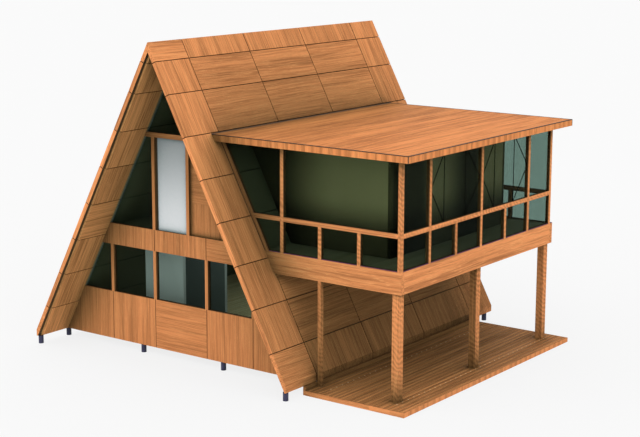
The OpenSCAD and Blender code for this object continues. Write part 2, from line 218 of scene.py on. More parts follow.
class Sheet:
    """A node tree that is being written."""

    def __init__(self, tree: bpy.types.NodeTree) -> None:
        """Starts on an emptied tree."""
        self.tree = tree
        tree.nodes.clear()

    @classmethod
    def for_material(cls, name: str) -> tuple[Sheet, bpy.types.Material]:
        """Starts a material.

        Args:
            name: Name of the material.

        Returns:
            Its sheet and the material.
        """
        material = bpy.data.materials.new(name)
        material.use_nodes = True
        return cls(material.node_tree), material

    def add(
        self,
        kind: str,
        settings: Optional[dict[str, Any]] = None,
        inputs: Optional[dict[str, Any]] = None,
    ) -> bpy.types.Node:
        """Adds a node, sets its settings first and then its sockets.

        Args:
            kind: The node's type.
            settings: Its properties by name; "stops" holds a ramp's places and colours.
            inputs: Values or links by socket name or identifier.

        Returns:
            The new node.
        """
        node = self.tree.nodes.new(kind)
        for name, value in (settings or {}).items():
            if name == "stops":
                self._set_stops(node.color_ramp, value)
            else:
                setattr(node, name, value)
        for name, value in (inputs or {}).items():
            socket = self._socket(node.inputs, name)
            if isinstance(value, Val):
                self.tree.links.new(value.socket, socket)
            else:
                socket.default_value = value
        return node

    @staticmethod
    def _set_stops(ramp: bpy.types.ColorRamp, stops: Sequence[tuple[float, Colour]]) -> None:
        """Gives a ramp its places and colours."""
        while len(ramp.elements) < len(stops):
            ramp.elements.new(1.0)
        for element, (place, colour) in zip(ramp.elements, stops):
            element.position = place
            element.color = (*colour, 1.0)

    @staticmethod
    def _socket(sockets: Any, name: str) -> bpy.types.NodeSocket:
        """Finds a socket by its identifier or, failing that, its name."""
        for socket in sockets:
            if socket.identifier == name:
                return socket
        return sockets[name]

    def out(self, node: bpy.types.Node, name: str) -> Val:
        """Wraps a node's output."""
        return Val(self, self._socket(node.outputs, name))

    def math(self, operation: str, *values: Num) -> Val:
        """Adds one Math node.

        Args:
            operation: The Math node's operation.
            values: Its operands, as values or numbers.

        Returns:
            The result.
        """
        identifiers = ("Value", "Value_001", "Value_002")
        node = self.add("ShaderNodeMath", {"operation": operation}, dict(zip(identifiers, values)))
        return self.out(node, "Value")

    def place(self) -> tuple[Val, Val, Val]:
        """The point's X, Y and Z in the frame."""
        return self.split(self.out(self.add("ShaderNodeTexCoord"), "Object"))

    def facing(self) -> tuple[Val, Val, Val]:
        """X, Y and Z of the surface's normal."""
        return self.split(self.out(self.add("ShaderNodeTexCoord"), "Normal"))

    def split(self, vector: Val) -> tuple[Val, Val, Val]:
        """X, Y and Z of a vector."""
        node = self.add("ShaderNodeSeparateXYZ", None, {"Vector": vector})
        return self.out(node, "X"), self.out(node, "Y"), self.out(node, "Z")

    def vector(self, x: Num, y: Num, z: Num) -> Val:
        """A vector from three values."""
        return self.out(self.add("ShaderNodeCombineXYZ", None, {"X": x, "Y": y, "Z": z}), "Vector")

    def noise(self, x: Num, y: Num, z: Num, detail: float = 2.0) -> Val:
        """Smooth noise around 0.5, with one swell per unit and some finer layers."""
        inputs = {"Vector": self.vector(x, y, z), "Scale": 1.0, "Detail": detail}
        return self.out(self.add("ShaderNodeTexNoise", None, inputs), "Fac")

    def chance(self, key: Num) -> Val:
        """A fixed random value from 0 to 1 for each key."""
        node = self.add("ShaderNodeTexWhiteNoise", {"noise_dimensions": "1D"}, {"W": key})
        return self.out(node, "Value")

    def ramp(self, value: Val, stops: Sequence[tuple[float, Colour]]) -> Val:
        """A colour by value."""
        return self.out(self.add("ShaderNodeValToRGB", {"stops": stops}, {"Fac": value}), "Color")

    def blend(self, share: Num, first: Any, second: Any, way: str = "MIX") -> Val:
        """Mixes two colours.

        Args:
            share: Share of the second colour.
            first: First colour, as a value or a plain colour.
            second: Second colour.
            way: Blend type of the Mix node.

        Returns:
            The mixed colour.
        """
        first, second = [c if isinstance(c, Val) else (*c, 1.0) for c in (first, second)]
        node = self.add(
            "ShaderNodeMix",
            {"data_type": "RGBA", "blend_type": way},
            {"Factor_Float": share, "A_Color": first, "B_Color": second},
        )
        return self.out(node, "Result_Color")

    def shade(self, colour: Val, level: Val) -> Val:
        """Multiplies a colour by a level."""
        return self.blend(1.0, colour, self.vector(level, level, level), "MULTIPLY")

    def dim_bounce(self, colour: Val, share: float) -> Val:
        """Lowers a colour to a share of it, only for light on its way to another surface."""
        return self.shade(colour, 1.0 - self.rays("Is Diffuse Ray") * (1.0 - share))

    def rays(self, *kinds: str) -> Val:
        """1 for rays of the named kinds, else 0.

        Args:
            kinds: Outputs of the Light Path node.

        Returns:
            The mask.
        """
        path = self.add("ShaderNodeLightPath")
        found, *others = [self.out(path, kind) for kind in kinds]
        for other in others:
            found = found + other
        return found.least(1.0)

    def corner_shade(self, colour: Val, amount: Num) -> Val:
        """Darkens a colour where other surfaces stand close, as in corners and under eaves.

        Args:
            colour: Colour of the open surface.
            amount: Strength of the darkening.

        Returns:
            The colour, darker and a little greener in the corners.
        """
        loss: Num = 1.0
        for reach, depth in CORNER_REACHES:
            near = self.add(
                "ShaderNodeAmbientOcclusion", {"samples": CORNER_SAMPLES}, {"Distance": reach})
            loss = loss + (1.0 - self.out(near, "AO")) * (amount * depth)
        light = 1.0 / loss
        tint = self.blend(light, CORNER_TINT, WHITE)
        return self.blend(1.0, self.shade(colour, light), tint, "MULTIPLY")

    def bump(self, height: Val, depth: float) -> Val:
        """A normal from a height, which is 1 at the given depth in metres."""
        inputs = {"Height": height, "Distance": depth, "Strength": 1.0}
        return self.out(self.add("ShaderNodeBump", None, inputs), "Normal")

    def plain(self, kind: str, colour: Colour, **inputs: Num) -> Val:
        """A simple shader of one colour."""
        node = self.add(kind, None, {"Color": (*colour, 1.0), **inputs})
        return Val(self, node.outputs[0])

    def mix(self, share: Num, first: Val, second: Val) -> Val:
        """Mixes two shaders by the share of the second."""
        inputs = {"Fac": share, "Shader": first, "Shader_001": second}
        return self.out(self.add("ShaderNodeMixShader", None, inputs), "Shader")

    def skin(self, inputs: dict[str, Any]) -> Val:
        """A Principled shader with the given sockets."""
        return self.out(self.add("ShaderNodeBsdfPrincipled", None, inputs), "BSDF")

    def show(self, surface: Val) -> None:
        """Sends a shader to the material's output."""
        self.add("ShaderNodeOutputMaterial", None, {"Surface": surface})


@dataclass
class Run:
    """Where a point lies in a board.

    Attributes:
        along: Distance along the grain.
        across: Distance across the grain.
        depth: Distance into the board.
        board: A number that differs from board to board.
        edge: 1 at a joint, 0 away from it, where the boards have dark joints.
        bare: 1 where the surface is a pale board inside the building, else 0.
        banded: 1 on edge faces with soft bands across the grain, else 0.
        closed: Share of the corner shade that reaches the place.
    """

    along: Val
    across: Val
    depth: Num
    board: Num = 0.0
    edge: Optional[Val] = None
    bare: Optional[Val] = None
    banded: Optional[Val] = None
    closed: Num = 1.0


def edge_near(gap: Val) -> Val:
    """1 on a joint and 0 beyond the soft dark line beside it."""
    return gap.fade(*PANEL_JOINT)


def count_passed(value: Val, joints: Sequence[float]) -> Val:
    """How many of the joints lie below a value."""
    passed = value > joints[0]
    for joint in joints[1:]:
        passed = passed + (value > joint)
    return passed


def nearest(value: Val, joints: Sequence[float]) -> Val:
    """Distance from a value to the nearest joint."""
    gap = abs(value - joints[0])
    for joint in joints[1:]:
        gap = gap.least(abs(value - joint))
    return gap


class Grain:
    """How the boards of a piece lie and which way their grain runs."""

    def lay(self, sheet: Sheet) -> Run:
        """A point's place in its board, written on a sheet."""
        raise NotImplementedError


@dataclass(frozen=True)
class StraightGrain(Grain):
    """Grain along one axis of the frame, in single beams and posts.

    Attributes:
        along: Axis of the grain.
        across: Axis over the width.
        free: Range in Y over which the pieces come to stand free of corner shade.
        free_share: Share of that shade that free pieces lose.
    """

    along: Axis
    across: Axis
    free: Optional[Point2] = None
    free_share: float = 0.8

    def lay(self, sheet: Sheet) -> Run:
        """Takes the three axes in the grain's order."""
        place = sheet.place()
        depth = ({0, 1, 2} - {self.along.value, self.across.value}).pop()
        closed = 1.0 - place[1].fade(*self.free) * self.free_share if self.free else 1.0
        return Run(place[self.along.value], place[self.across.value], place[depth], closed=closed)


@dataclass(frozen=True)
class BoardGrain(Grain):
    """Grain along floor boards of one width.

    Attributes:
        along: Axis of the boards.
        across: Axis over their width.
        width: Width of a board.
    """

    along: Axis
    across: Axis
    width: float

    def lay(self, sheet: Sheet) -> Run:
        """Counts boards across and marks the joints between them."""
        place = sheet.place()
        across = place[self.across.value]
        board = (across / self.width).floor()
        inside = across - board * self.width
        gap = inside.least(self.width - inside)
        return Run(place[self.along.value], across, place[2], board, gap.fade(*BOARD_JOINT))


@dataclass(frozen=True)
class CornerGrain(Grain):
    """Grain along X that turns along Y past a limit, as in a rail round a corner.

    Attributes:
        limit: Place in X where the grain turns.
    """

    limit: float

    def lay(self, sheet: Sheet) -> Run:
        """Chooses the run by the place along X."""
        x, y, z = sheet.place()
        side = x > self.limit
        return Run(x.toward(y, side), z, y.toward(x, side), side)


@dataclass(frozen=True)
class EdgedGrain(Grain):
    """Grain along Y on a flat slab's faces, with upright grain on its edge boards.

    Attributes:
        board: Width of the edge boards.
        level_ends: Whether the grain on the edges at both ends in Y runs level.
    """

    board: float
    level_ends: bool = False

    def lay(self, sheet: Sheet) -> Run:
        """Chooses the run by the way the surface faces."""
        x, y, z = sheet.place()
        edge = abs(sheet.facing()[2]) < FACING
        round_edge = x + y
        piece = (round_edge / self.board).floor() * edge
        along, across = y.toward(z, edge), x.toward(round_edge, edge)
        if self.level_ends:
            end = abs(sheet.facing()[1]) > FACING
            along, across, edge = along.toward(x, end), across.toward(z, end), edge - end
        return Run(along, across, 0.0, piece, banded=edge)


@dataclass(frozen=True)
class PanelGrain(Grain):
    """Upright grain in wall panels side by side, with the grain level in one of them.

    Attributes:
        cut_axis: Axis along which the panels follow each other.
        cuts: Joints along that axis.
        turned: Lowest and highest place along that axis with level grain.
        open_joints: Whether the joints show as soft dark lines.
    """

    cut_axis: Axis
    cuts: tuple[float, ...]
    turned: Point2
    open_joints: bool = True

    def lay(self, sheet: Sheet) -> Run:
        """Counts panels and turns the grain in the chosen one."""
        x, y, z = place = sheet.place()
        value = place[self.cut_axis.value]
        level = value.between(*self.turned)
        edge = edge_near(nearest(value, self.cuts)) if self.open_joints else None
        panel = count_passed(value, self.cuts)
        return Run(z.toward(x, level), x.toward(z, level), y, panel, edge)


class SlopeRule(Enum):
    """Which parts of a slope have grain that runs down it."""

    PANELS = "panels"
    LINING = "lining"
    TRIM = "trim"


@dataclass(frozen=True)
class Shelter:
    """Deeper corner shade on a slope, above a gallery's flat roof and below its floor.

    Attributes:
        floor: Height at which the gallery's floor meets the slope.
        roof: Height at which its roof does.
        above_reach: Heights above the roof at which the shade starts and is full.
        above_least: Share that is added above the roof.
        above_gain: Further share at the far end.
        above_far: Places in Y between which the further share grows.
        below_reach: Depth below the floor at which the shade is full.
        below_least: Share that is added right under the floor.
        below_gain: Further share at the full depth.
        below_more: Further share at the far end.
        below_far: Places in Y between which that share grows.
    """

    floor: float
    roof: float
    above_reach: Point2 = (2.4, 0.1)
    above_least: float = 0.9
    above_gain: float = 4.0
    above_far: Point2 = (4.0, 4.95)
    below_reach: float = 1.9
    below_least: float = -0.55
    below_gain: float = 1.05
    below_more: float = 2.8
    below_far: Point2 = (1.5, 4.4)

    def extra(self, y: Val, z: Val) -> Val:
        """Finds how much corner shade is added at a place on the slope.

        Args:
            y: Place along the ridge.
            z: Height.

        Returns:
            The share to add.
        """
        start, full = [self.roof + height for height in self.above_reach]
        above = y.fade(*self.above_far) * self.above_gain + self.above_least
        above = z.between(self.roof, SKY_HIGH) * z.fade(start, full) * above
        below = z.fade(self.floor, self.floor - self.below_reach) * self.below_gain
        below = below + self.below_least + y.fade(*self.below_far) * self.below_more
        return above + z.between(UNDER_GROUND, self.floor) * below


@dataclass(frozen=True)
class SlopeGrain(Grain):
    """Grain in the panels of one roof slope.

    Attributes:
        side: 1 for the slope that falls towards +X, -1 for the other.
        ridge: Place of the ridge in X and Z.
        pitch: Slope in radians.
        courses: Joints between courses, from the ridge down the slope.
        strips: Joints between strips, in Y.
        rule: Which panels have grain down the slope.
        inside_y: Lowest and highest Y of the stretch inside the building.
        inside_z: Lowest and highest Z of that stretch.
        shelter: Deeper shade beside a gallery, if there is one.
        front_free: Share of the corner shade that the front strip loses.
        level_course: Course of the lining, counted from 0, with level grain.
    """

    side: int
    ridge: Point2
    pitch: float
    courses: tuple[float, ...]
    strips: tuple[float, ...]
    rule: SlopeRule
    inside_y: Point2 = (0.0, 0.0)
    inside_z: Point2 = (0.0, SKY_HIGH)
    shelter: Optional[Shelter] = None
    front_free: float = 0.48
    level_course: int = 5

    def closed(self, y: Val, z: Val, first: Val) -> Val:
        """The share of the corner shade at a place; first is 1 on the front strip, else 0."""
        free = 1.0 - first * self.front_free
        return free + (1.0 - first) * self.shelter.extra(y, z) if self.shelter else free

    def lay(self, sheet: Sheet) -> Run:
        """Finds the panel and chooses its run by the rule."""
        x, y, z = sheet.place()
        outward = (x - self.ridge[0]) * self.side
        fall = self.ridge[1] - z
        down = outward * math.cos(self.pitch) + fall * math.sin(self.pitch)
        depth = outward * math.sin(self.pitch) - fall * math.cos(self.pitch)
        course = count_passed(down, self.courses)
        bare = y.between(*self.inside_y) * z.between(*self.inside_z)
        if self.rule is SlopeRule.TRIM:
            return Run(down, y, depth, y.floor())
        if self.rule is SlopeRule.LINING:
            level = course.between(self.level_course - 0.5, self.level_course + 0.5)
            edge = edge_near(nearest(down, self.courses))
            return Run(down.toward(y, level), y.toward(down, level), depth, course, edge, bare)
        strip = count_passed(y, self.strips)
        end_course = (course < 0.5) + (course > len(self.courses) - 0.5)
        first, last = strip < 0.5, strip > len(self.strips) - 0.5
        turned = abs(first - end_course)
        downhill = turned.toward(last, last)
        edge = edge_near(nearest(down, self.courses).least(nearest(y, self.strips)))
        panel = course * len(self.strips) * 2.0 + strip
        along, across = y.toward(down, downhill), down.toward(y, downhill)
        return Run(along, across, depth, panel, edge, bare, closed=self.closed(y, z, first))


@dataclass(frozen=True)
class AttributeGrain(Grain):
    """Grain along Y in boards that carry their own number.

    Attributes:
        name: Attribute of the mesh with a number from 0 to 1.
        spread: Factor that sets the boards' numbers apart.
    """

    name: str
    spread: float = 40.0

    def lay(self, sheet: Sheet) -> Run:
        """Reads each board's number from the mesh."""
        x, y, z = sheet.place()
        number = sheet.add("ShaderNodeAttribute", {"attribute_name": self.name})
        return Run(y, x, z, sheet.out(number, "Fac") * self.spread)


class Figure(Enum):
    """How a wood's figure runs besides its straight streaks."""

    PLAIN = "plain"
    WAVY = "wavy"
    SLANTED = "slanted"


@dataclass(frozen=True)
class Layer:
    """One layer of a wood's streaks.

    Attributes:
        along: Swells per metre along the grain.
        across: Swells across it, for each broad streak.
        deep: Swells into the board, for each broad streak.
        detail: Number of finer layers in it.
        share: Its share of the streaks.
    """

    along: float
    across: float
    deep: float
    detail: float
    share: float


# Swell, broad streaks, narrow streaks and fibre.
LAYERS = (
    Layer(0.15, 0.25, 0.2, 0.0, 0.22),
    Layer(0.3, 1.0, 1.0, 1.0, 0.26),
    Layer(0.7, 3.2, 2.0, 2.0, 0.38),
    Layer(5.0, 18.0, 5.0, 3.0, 0.14),
)
# Places of the dark, middle and light colour in the streaks.
STREAK_STOPS = (0.36, 0.5, 0.64)
# Factor and start of the number that sets one board's pattern apart from the next.
BOARD_STEP, BOARD_START = 7.31, 2.7
# Pitch, lean and turn of the waves in a figure, and their strength.
WAVES = {Figure.WAVY: (50.0, 0.4, 14.0), Figure.SLANTED: (40.0, 0.7, 16.0)}
WAVE_SIZE = 0.16
BAND_PITCH = 0.27
# Place, width and strength of the thin pale lines, and the strength and tone of the pores.
PALE_PLACE, PALE_WIDTH, PALE_SHARE = 0.54, 0.035, 0.5
PORE_SHARE, PORE_TONE = 0.35, 0.6
GRAIN_RELIEF = 0.0015
WOOD_GLOSS = 0.03
# Swells of grit per metre in plaster and paint.
GRIT = 160.0


class Finish:
    """A look that is written as a material."""

    name: str

    def make(self) -> bpy.types.Material:
        """Writes the material.

        Returns:
            The material.
        """
        sheet, material = Sheet.for_material(self.name)
        sheet.show(self.surface(sheet))
        return material

    def surface(self, sheet: Sheet) -> Val:
        """The look's shader, written on a sheet."""
        raise NotImplementedError


@dataclass(frozen=True)
class Wood(Finish):
    """Oiled softwood with streaks along its grain.

    Attributes:
        name: Name of the material.
        grain: How the boards lie.
        light: Colour of the pale streaks.
        middle: Colour between the streaks.
        dark: Colour of the dark streaks.
        pale: Colour of thin pale lines.
        level: Share of the colours' brightness that this wood has.
        streaks: Broad streaks per metre across the grain.
        contrast: Strength of the streaks.
        warp: How far streaks wander, in metres.
        figure: Figure across the streaks.
        tone: How much the boards differ in shade.
        roughness: Mean roughness.
        corners: Strength of the shade in corners.
        bare: Colour of the pale boards inside the building.
    """

    name: str
    grain: Grain
    light: Colour = screen_colour(232, 151, 94)
    middle: Colour = screen_colour(207, 133, 82)
    dark: Colour = screen_colour(168, 108, 66)
    pale: Colour = screen_colour(242, 172, 110)
    level: float = 1.0
    streaks: float = 14.0
    contrast: float = 1.0
    warp: float = 0.14
    figure: Figure = Figure.PLAIN
    tone: float = 0.08
    roughness: float = 0.62
    corners: float = 1.0
    bare: Colour = screen_colour(158, 146, 114)

    def surface(self, sheet: Sheet) -> Val:
        """Writes streaks, pale lines, pores, board tones, joints and corner shade.

        Args:
            sheet: Sheet of the material.

        Returns:
            The shader.
        """
        run = self.grain.lay(sheet)
        start = run.board * BOARD_STEP + BOARD_START
        wander = sheet.noise(run.along * 0.35, run.across * 0.9, start) - 0.5
        across = (run.across + wander * self.warp) * self.streaks
        deep = run.depth * self.streaks + start
        layers = [
            sheet.noise(
                run.along * layer.along, across * layer.across, deep * layer.deep, layer.detail)
            for layer in LAYERS
        ]
        narrow, fibre = layers[2:]
        streak = sum(noise * layer.share for noise, layer in zip(layers, LAYERS))
        streak = (streak - 0.5) * self.contrast + 0.5
        if self.figure is not Figure.PLAIN:
            streak = streak + self.waves(sheet, run)
        if run.banded is not None:
            streak = streak.toward(self.bands(sheet, run), run.banded)
        colour = sheet.ramp(streak, list(zip(STREAK_STOPS, (self.dark, self.middle, self.light))))
        pale_line = abs(narrow - PALE_PLACE).fade(PALE_WIDTH, 0.0)
        colour = sheet.blend(pale_line * (PALE_SHARE * self.contrast), colour, self.pale)
        pore = (1.0 - fibre).fade(0.56, 0.66) * narrow.fade(0.52, 0.42)
        colour = sheet.blend(pore * PORE_SHARE, colour, [c * PORE_TONE for c in self.dark])
        shade = (1.0 - self.tone * 0.5 + sheet.chance(start) * self.tone) * self.level
        colour = sheet.shade(colour, shade)
        if run.bare is not None:
            dull = tuple(channel * 0.9 for channel in self.bare)
            board = sheet.ramp(fibre, [(0.3, dull), (0.7, self.bare)])
            colour = sheet.blend(run.bare, colour, board)
        if run.edge is not None:
            colour = sheet.shade(colour, 1.0 - run.edge * JOINT_DARK)
        colour = sheet.corner_shade(colour, run.closed * self.corners)
        return sheet.skin({
            "Base Color": sheet.dim_bounce(colour, BOUNCE),
            "Roughness": self.roughness + (0.5 - streak) * 0.25,
            "Normal": sheet.bump(fibre * 0.6 + narrow * 0.4, GRAIN_RELIEF),
            "Specular IOR Level": WOOD_GLOSS,
        })

    @staticmethod
    def bands(sheet: Sheet, run: Run) -> Val:
        """Writes the soft bands across an edge face.

        Args:
            sheet: Sheet of the material.
            run: Place in the board.

        Returns:
            The bands, in place of the streaks.
        """
        swell = sheet.noise(run.across * 5.0, 0.0, run.board, 1.0)
        turns = run.across * (math.tau / BAND_PITCH) + swell * 9.0
        return turns.sine() * 0.08 + swell * 0.3 + 0.36

    def waves(self, sheet: Sheet, run: Run) -> Val:
        """Writes the wavy or slanted figure of posts and rails.

        Args:
            sheet: Sheet of the material.
            run: Place in the board.

        Returns:
            What the figure adds to the streaks.
        """
        pitch, lean, turn = WAVES[self.figure]
        level = run.across + run.depth
        bend = sheet.noise(run.along * 2.4, run.across * 5.0, run.depth * 5.0, 1.0)
        strength = sheet.noise(run.along * 1.1, level * 2.0, run.along * 0.3 + 4.0, 0.0)
        wave = ((run.along + level * lean) * pitch + bend * turn).sine()
        size = strength * WAVE_SIZE
        return wave * (size * run.board if self.figure is Figure.SLANTED else size)


@dataclass(frozen=True)
class Glass(Finish):
    """Dark green window glass.

    Attributes:
        name: Name of the material.
        tint: Share of light that one face lets through.
        gloss: Strength of its mirror image.
        daylight: Share of the daylight that one face lets into the rooms.
        body: Colour of the face itself.
        sheen: Tint of its highlights.
        index: Index of refraction.
    """

    name: str
    tint: Colour
    gloss: float
    daylight: Colour = (0.96, 0.97, 0.965)
    body: Colour = (0.01, 0.016, 0.012)
    sheen: Colour = (1.0, 0.96, 0.66)
    index: float = 1.45

    def surface(self, sheet: Sheet) -> Val:
        """Writes a tinted pane with a faint film that lets daylight into the rooms.

        Args:
            sheet: Sheet of the material.

        Returns:
            The shader.
        """
        x, y, z = sheet.place()
        film = sheet.noise(x * 1.3 + y * 1.3, z * 0.9, y * 0.4)
        clear = sheet.plain("ShaderNodeBsdfTransparent", self.tint)
        shine = sheet.skin({
            "Base Color": (*self.body, 1.0),
            "Specular Tint": (*self.sheen, 1.0),
            "Roughness": film * 0.1 + 0.03,
        })
        mirror = sheet.out(sheet.add("ShaderNodeFresnel", None, {"IOR": self.index}), "Fac")
        pane = sheet.mix(mirror * (film * 0.4 + 0.8) * self.gloss, clear, shine)
        open_way = sheet.plain("ShaderNodeBsdfTransparent", self.daylight)
        return sheet.mix(sheet.rays("Is Shadow Ray", "Is Diffuse Ray"), pane, open_way)


@dataclass(frozen=True)
class PaintedShade:
    """Painted shade: a soft darkening of a wall along one axis, where shade falls on it.

    Attributes:
        axis: Axis along which the wall gets lighter.
        dark: Place where it is darkest.
        light: Place from which it has its full colour.
        least: Share of the colour that is left at the dark place.
        again: End of the dark stretch and the place beyond it with full colour, if any.
    """

    axis: Axis
    dark: float
    light: float
    least: float
    again: Optional[Point2] = None

    def level(self, sheet: Sheet) -> Val:
        """The share of the colour at a point."""
        place = sheet.place()[self.axis.value]
        loss = place.fade(self.light, self.dark) * (1.0 - self.least)
        if self.again:
            loss = loss * place.fade(self.again[1], self.again[0])
        return 1.0 - loss


@dataclass(frozen=True)
class Coat(Finish):
    """Plaster, paint or rubber: one colour with a soft mottle and a fine surface.

    Attributes:
        name: Name of the material.
        colour: Mean colour.
        mottle: How much the colour varies.
        swell: Size of a mottle patch.
        relief: Height of the fine surface.
        roughness: Mean roughness.
        metal: How metallic it is.
        corners: Strength of the shade in corners.
        bounce: Share of its light that it passes on to other surfaces.
        painted_shades: Painted shade, where the wall darkens softly.
        gloss: Strength of its mirror image.
    """

    name: str
    colour: Colour
    mottle: float = 0.08
    swell: float = 0.5
    relief: float = 0.0006
    roughness: float = 0.8
    metal: float = 0.0
    corners: float = 1.0
    bounce: float = BOUNCE
    painted_shades: tuple[PaintedShade, ...] = ()
    gloss: float = 0.3

    def surface(self, sheet: Sheet) -> Val:
        """Writes the mottle, the painted shade and the fine surface.

        Args:
            sheet: Sheet of the material.

        Returns:
            The shader.
        """
        x, y, z = sheet.place()
        patch = sheet.noise(x / self.swell, y / self.swell, z / self.swell, 3.0)
        grit = sheet.noise(x * GRIT, y * GRIT, z * GRIT)
        dull = tuple(channel * (1 - self.mottle * 2) for channel in self.colour)
        bright = tuple(channel * (1 + self.mottle * 2) for channel in self.colour)
        colour = sheet.ramp(patch * 0.8 + grit * 0.2, [(0.3, dull), (0.7, bright)])
        # Painted shade along the wall's axes.
        for falloff in self.painted_shades:
            colour = sheet.shade(colour, falloff.level(sheet))
        return sheet.skin({
            "Base Color": sheet.dim_bounce(sheet.corner_shade(colour, self.corners), self.bounce),
            "Roughness": (patch - 0.5) * 0.2 + self.roughness,
            "Metallic": self.metal,
            "Normal": sheet.bump(grit, self.relief),
            "Specular IOR Level": self.gloss,
        })


class Shop:
    """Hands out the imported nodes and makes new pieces."""

    def __init__(self, frame: dict[str, Any]) -> None:
        """Keeps the loaded frame's nodes."""
        self.nodes: dict[str, bpy.types.Object] = frame["nodes"]

    def paint(self, finish: Finish, *names: str) -> None:
        """Gives nodes one finish.

        Args:
            finish: The finish to make.
            names: The nodes that get it.
        """
        material = finish.make()
        for name in names:
            node = self.nodes[name]
            for slot in node.material_slots:
                slot.material = material
            LOG.info("%s: %s", name, finish.name)

    def piece(
        self,
        name: str,
        mesh: bpy.types.Mesh,
        slot: str,
        finish: Optional[Finish] = None,
        replaced: Sequence[str] = (),
    ) -> None:
        """Adds a mesh to the object.

        Args:
            name: Name of the piece.
            mesh: Its mesh, in place.
            slot: The record's slot; not used.
            finish: Finish to make, unless the mesh has its material.
            replaced: Nodes that it stands for.
        """
        piece = bpy.data.objects.new(name, mesh)
        mesh.name = name
        bpy.context.scene.collection.objects.link(piece)
        if finish is not None:
            mesh.materials.clear()
            mesh.materials.append(finish.make())
        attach(piece, BODY)
        if replaced:
            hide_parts(*replaced)
        LOG.info("%s: %d faces", name, len(mesh.polygons))


def plan_corners(low: Sequence[float], high: Sequence[float]) -> list[Point2]:
    """The four corners of a box as seen from above, in order."""
    return [(low[0], low[1]), (high[0], low[1]), (high[0], high[1]), (low[0], high[1])]


def neighbours(count: int) -> list[tuple[int, int]]:
    """Each corner of an outline with the next one, by number."""
    return [(i, (i + 1) % count) for i in range(count)]


class Shape:
    """A mesh that is being put together."""

    def __init__(self) -> None:
        """Starts with nothing."""
        self.form = bmesh.new()

    def mesh(self) -> bpy.types.Mesh:
        """Ends as a mesh with its faces outwards.

        Returns:
            The mesh.
        """
        bmesh.ops.recalc_face_normals(self.form, faces=self.form.faces)
        mesh = bpy.data.meshes.new("mesh")
        self.form.to_mesh(mesh)
        self.form.free()
        return mesh

    def face(self, points: Sequence[Point3]) -> None:
        """Adds one face."""
        self.form.faces.new([self.form.verts.new(point) for point in points])

    def box(self, first: Sequence[float], second: Sequence[float]) -> None:
        """Adds an upright box.

        Args:
            first: One corner.
            second: The corner opposite to it.
        """
        low, high = zip(*[sorted(pair) for pair in zip(first, second)])
        corners = [
            self.form.verts.new((x, y, z))
            for z in (low[2], high[2])
            for x, y in plan_corners(low, high)
        ]
        sides = [(i, j, j + 4, i + 4) for i, j in neighbours(4)]
        for face in ((3, 2, 1, 0), (4, 5, 6, 7), *sides):
            self.form.faces.new([corners[i] for i in face])

    def prism(self, outline: Sequence[Vector], rise: Vector) -> None:
        """Adds a flat outline drawn out along a vector.

        Args:
            outline: Corners of the flat outline, in order.
            rise: Way and distance that it is drawn out.
        """
        first = [self.form.verts.new(point) for point in outline]
        second = [self.form.verts.new(point + rise) for point in outline]
        self.form.faces.new(list(reversed(first)))
        self.form.faces.new(second)
        for i, j in neighbours(len(outline)):
            self.form.faces.new((first[i], first[j], second[j], second[i]))

    def ring(self, outline: Sequence[Vector], normal: Vector, width: float, depth: float) -> None:
        """Adds a flat ring of even width inside a convex outline.

        Args:
            outline: Outer corners, in order.
            normal: Unit vector along which the ring is thick.
            width: Width of the ring.
            depth: Its thickness along the normal.
        """
        inner = inset_corners(outline, normal, width)
        for i, j in neighbours(len(outline)):
            self.prism([outline[i], outline[j], inner[j], inner[i]], normal * depth)


def inset_corners(outline: Sequence[Vector], normal: Vector, width: float) -> list[Vector]:
    """Moves every side of a convex outline inwards.

    Args:
        outline: Corners, in order.
        normal: Unit vector square to the outline.
        width: Distance that each side moves.

    Returns:
        The corners of the smaller outline.
    """
    middle = sum(outline, Vector()) / len(outline)
    moved = []
    for i, corner in enumerate(outline):
        before = (corner - outline[i - 1]).normalized()
        after = (outline[(i + 1) % len(outline)] - corner).normalized()
        sides = []
        for way in (before, after):
            inward = normal.cross(way)
            sides.append(inward if inward.dot(middle - corner) > 0 else -inward)
        turn = (sides[0] + sides[1]).normalized()
        moved.append(corner + turn * (width / turn.dot(sides[0])))
    return moved


def node_outlines(node: bpy.types.Object, thin: Axis, outward: int) -> list[list[Vector]]:
    """Finds the outer outline of every flat pane in a node.

    Args:
        node: Node that holds the panes.
        thin: Axis along which the panes are thin.
        outward: 1 or -1, the side of the panes that is wanted.

    Returns:
        The corners of each pane's outer face, in order.
    """
    shape = bmesh.new()
    shape.from_mesh(node.data)
    bmesh.ops.remove_doubles(shape, verts=shape.verts, dist=1e-5)
    left = set(shape.verts)
    outlines = []
    while left:
        group, queue = set(), [min(left, key=lambda v: v.index)]
        while queue:
            vert = queue.pop()
            if vert in group:
                continue
            group.add(vert)
            queue.extend(edge.other_vert(vert) for edge in vert.link_edges)
        left -= group
        face = max(outward * v.co[thin.value] for v in group)
        corners = [v.co.copy() for v in group if outward * v.co[thin.value] > face - 1e-4]
        middle = sum(corners, Vector()) / len(corners)
        first, second = [i for i in range(3) if i != thin.value]
        corners.sort(key=lambda c: math.atan2(c[second] - middle[second], c[first] - middle[first]))
        outlines.append(corners)
    shape.free()
    return outlines


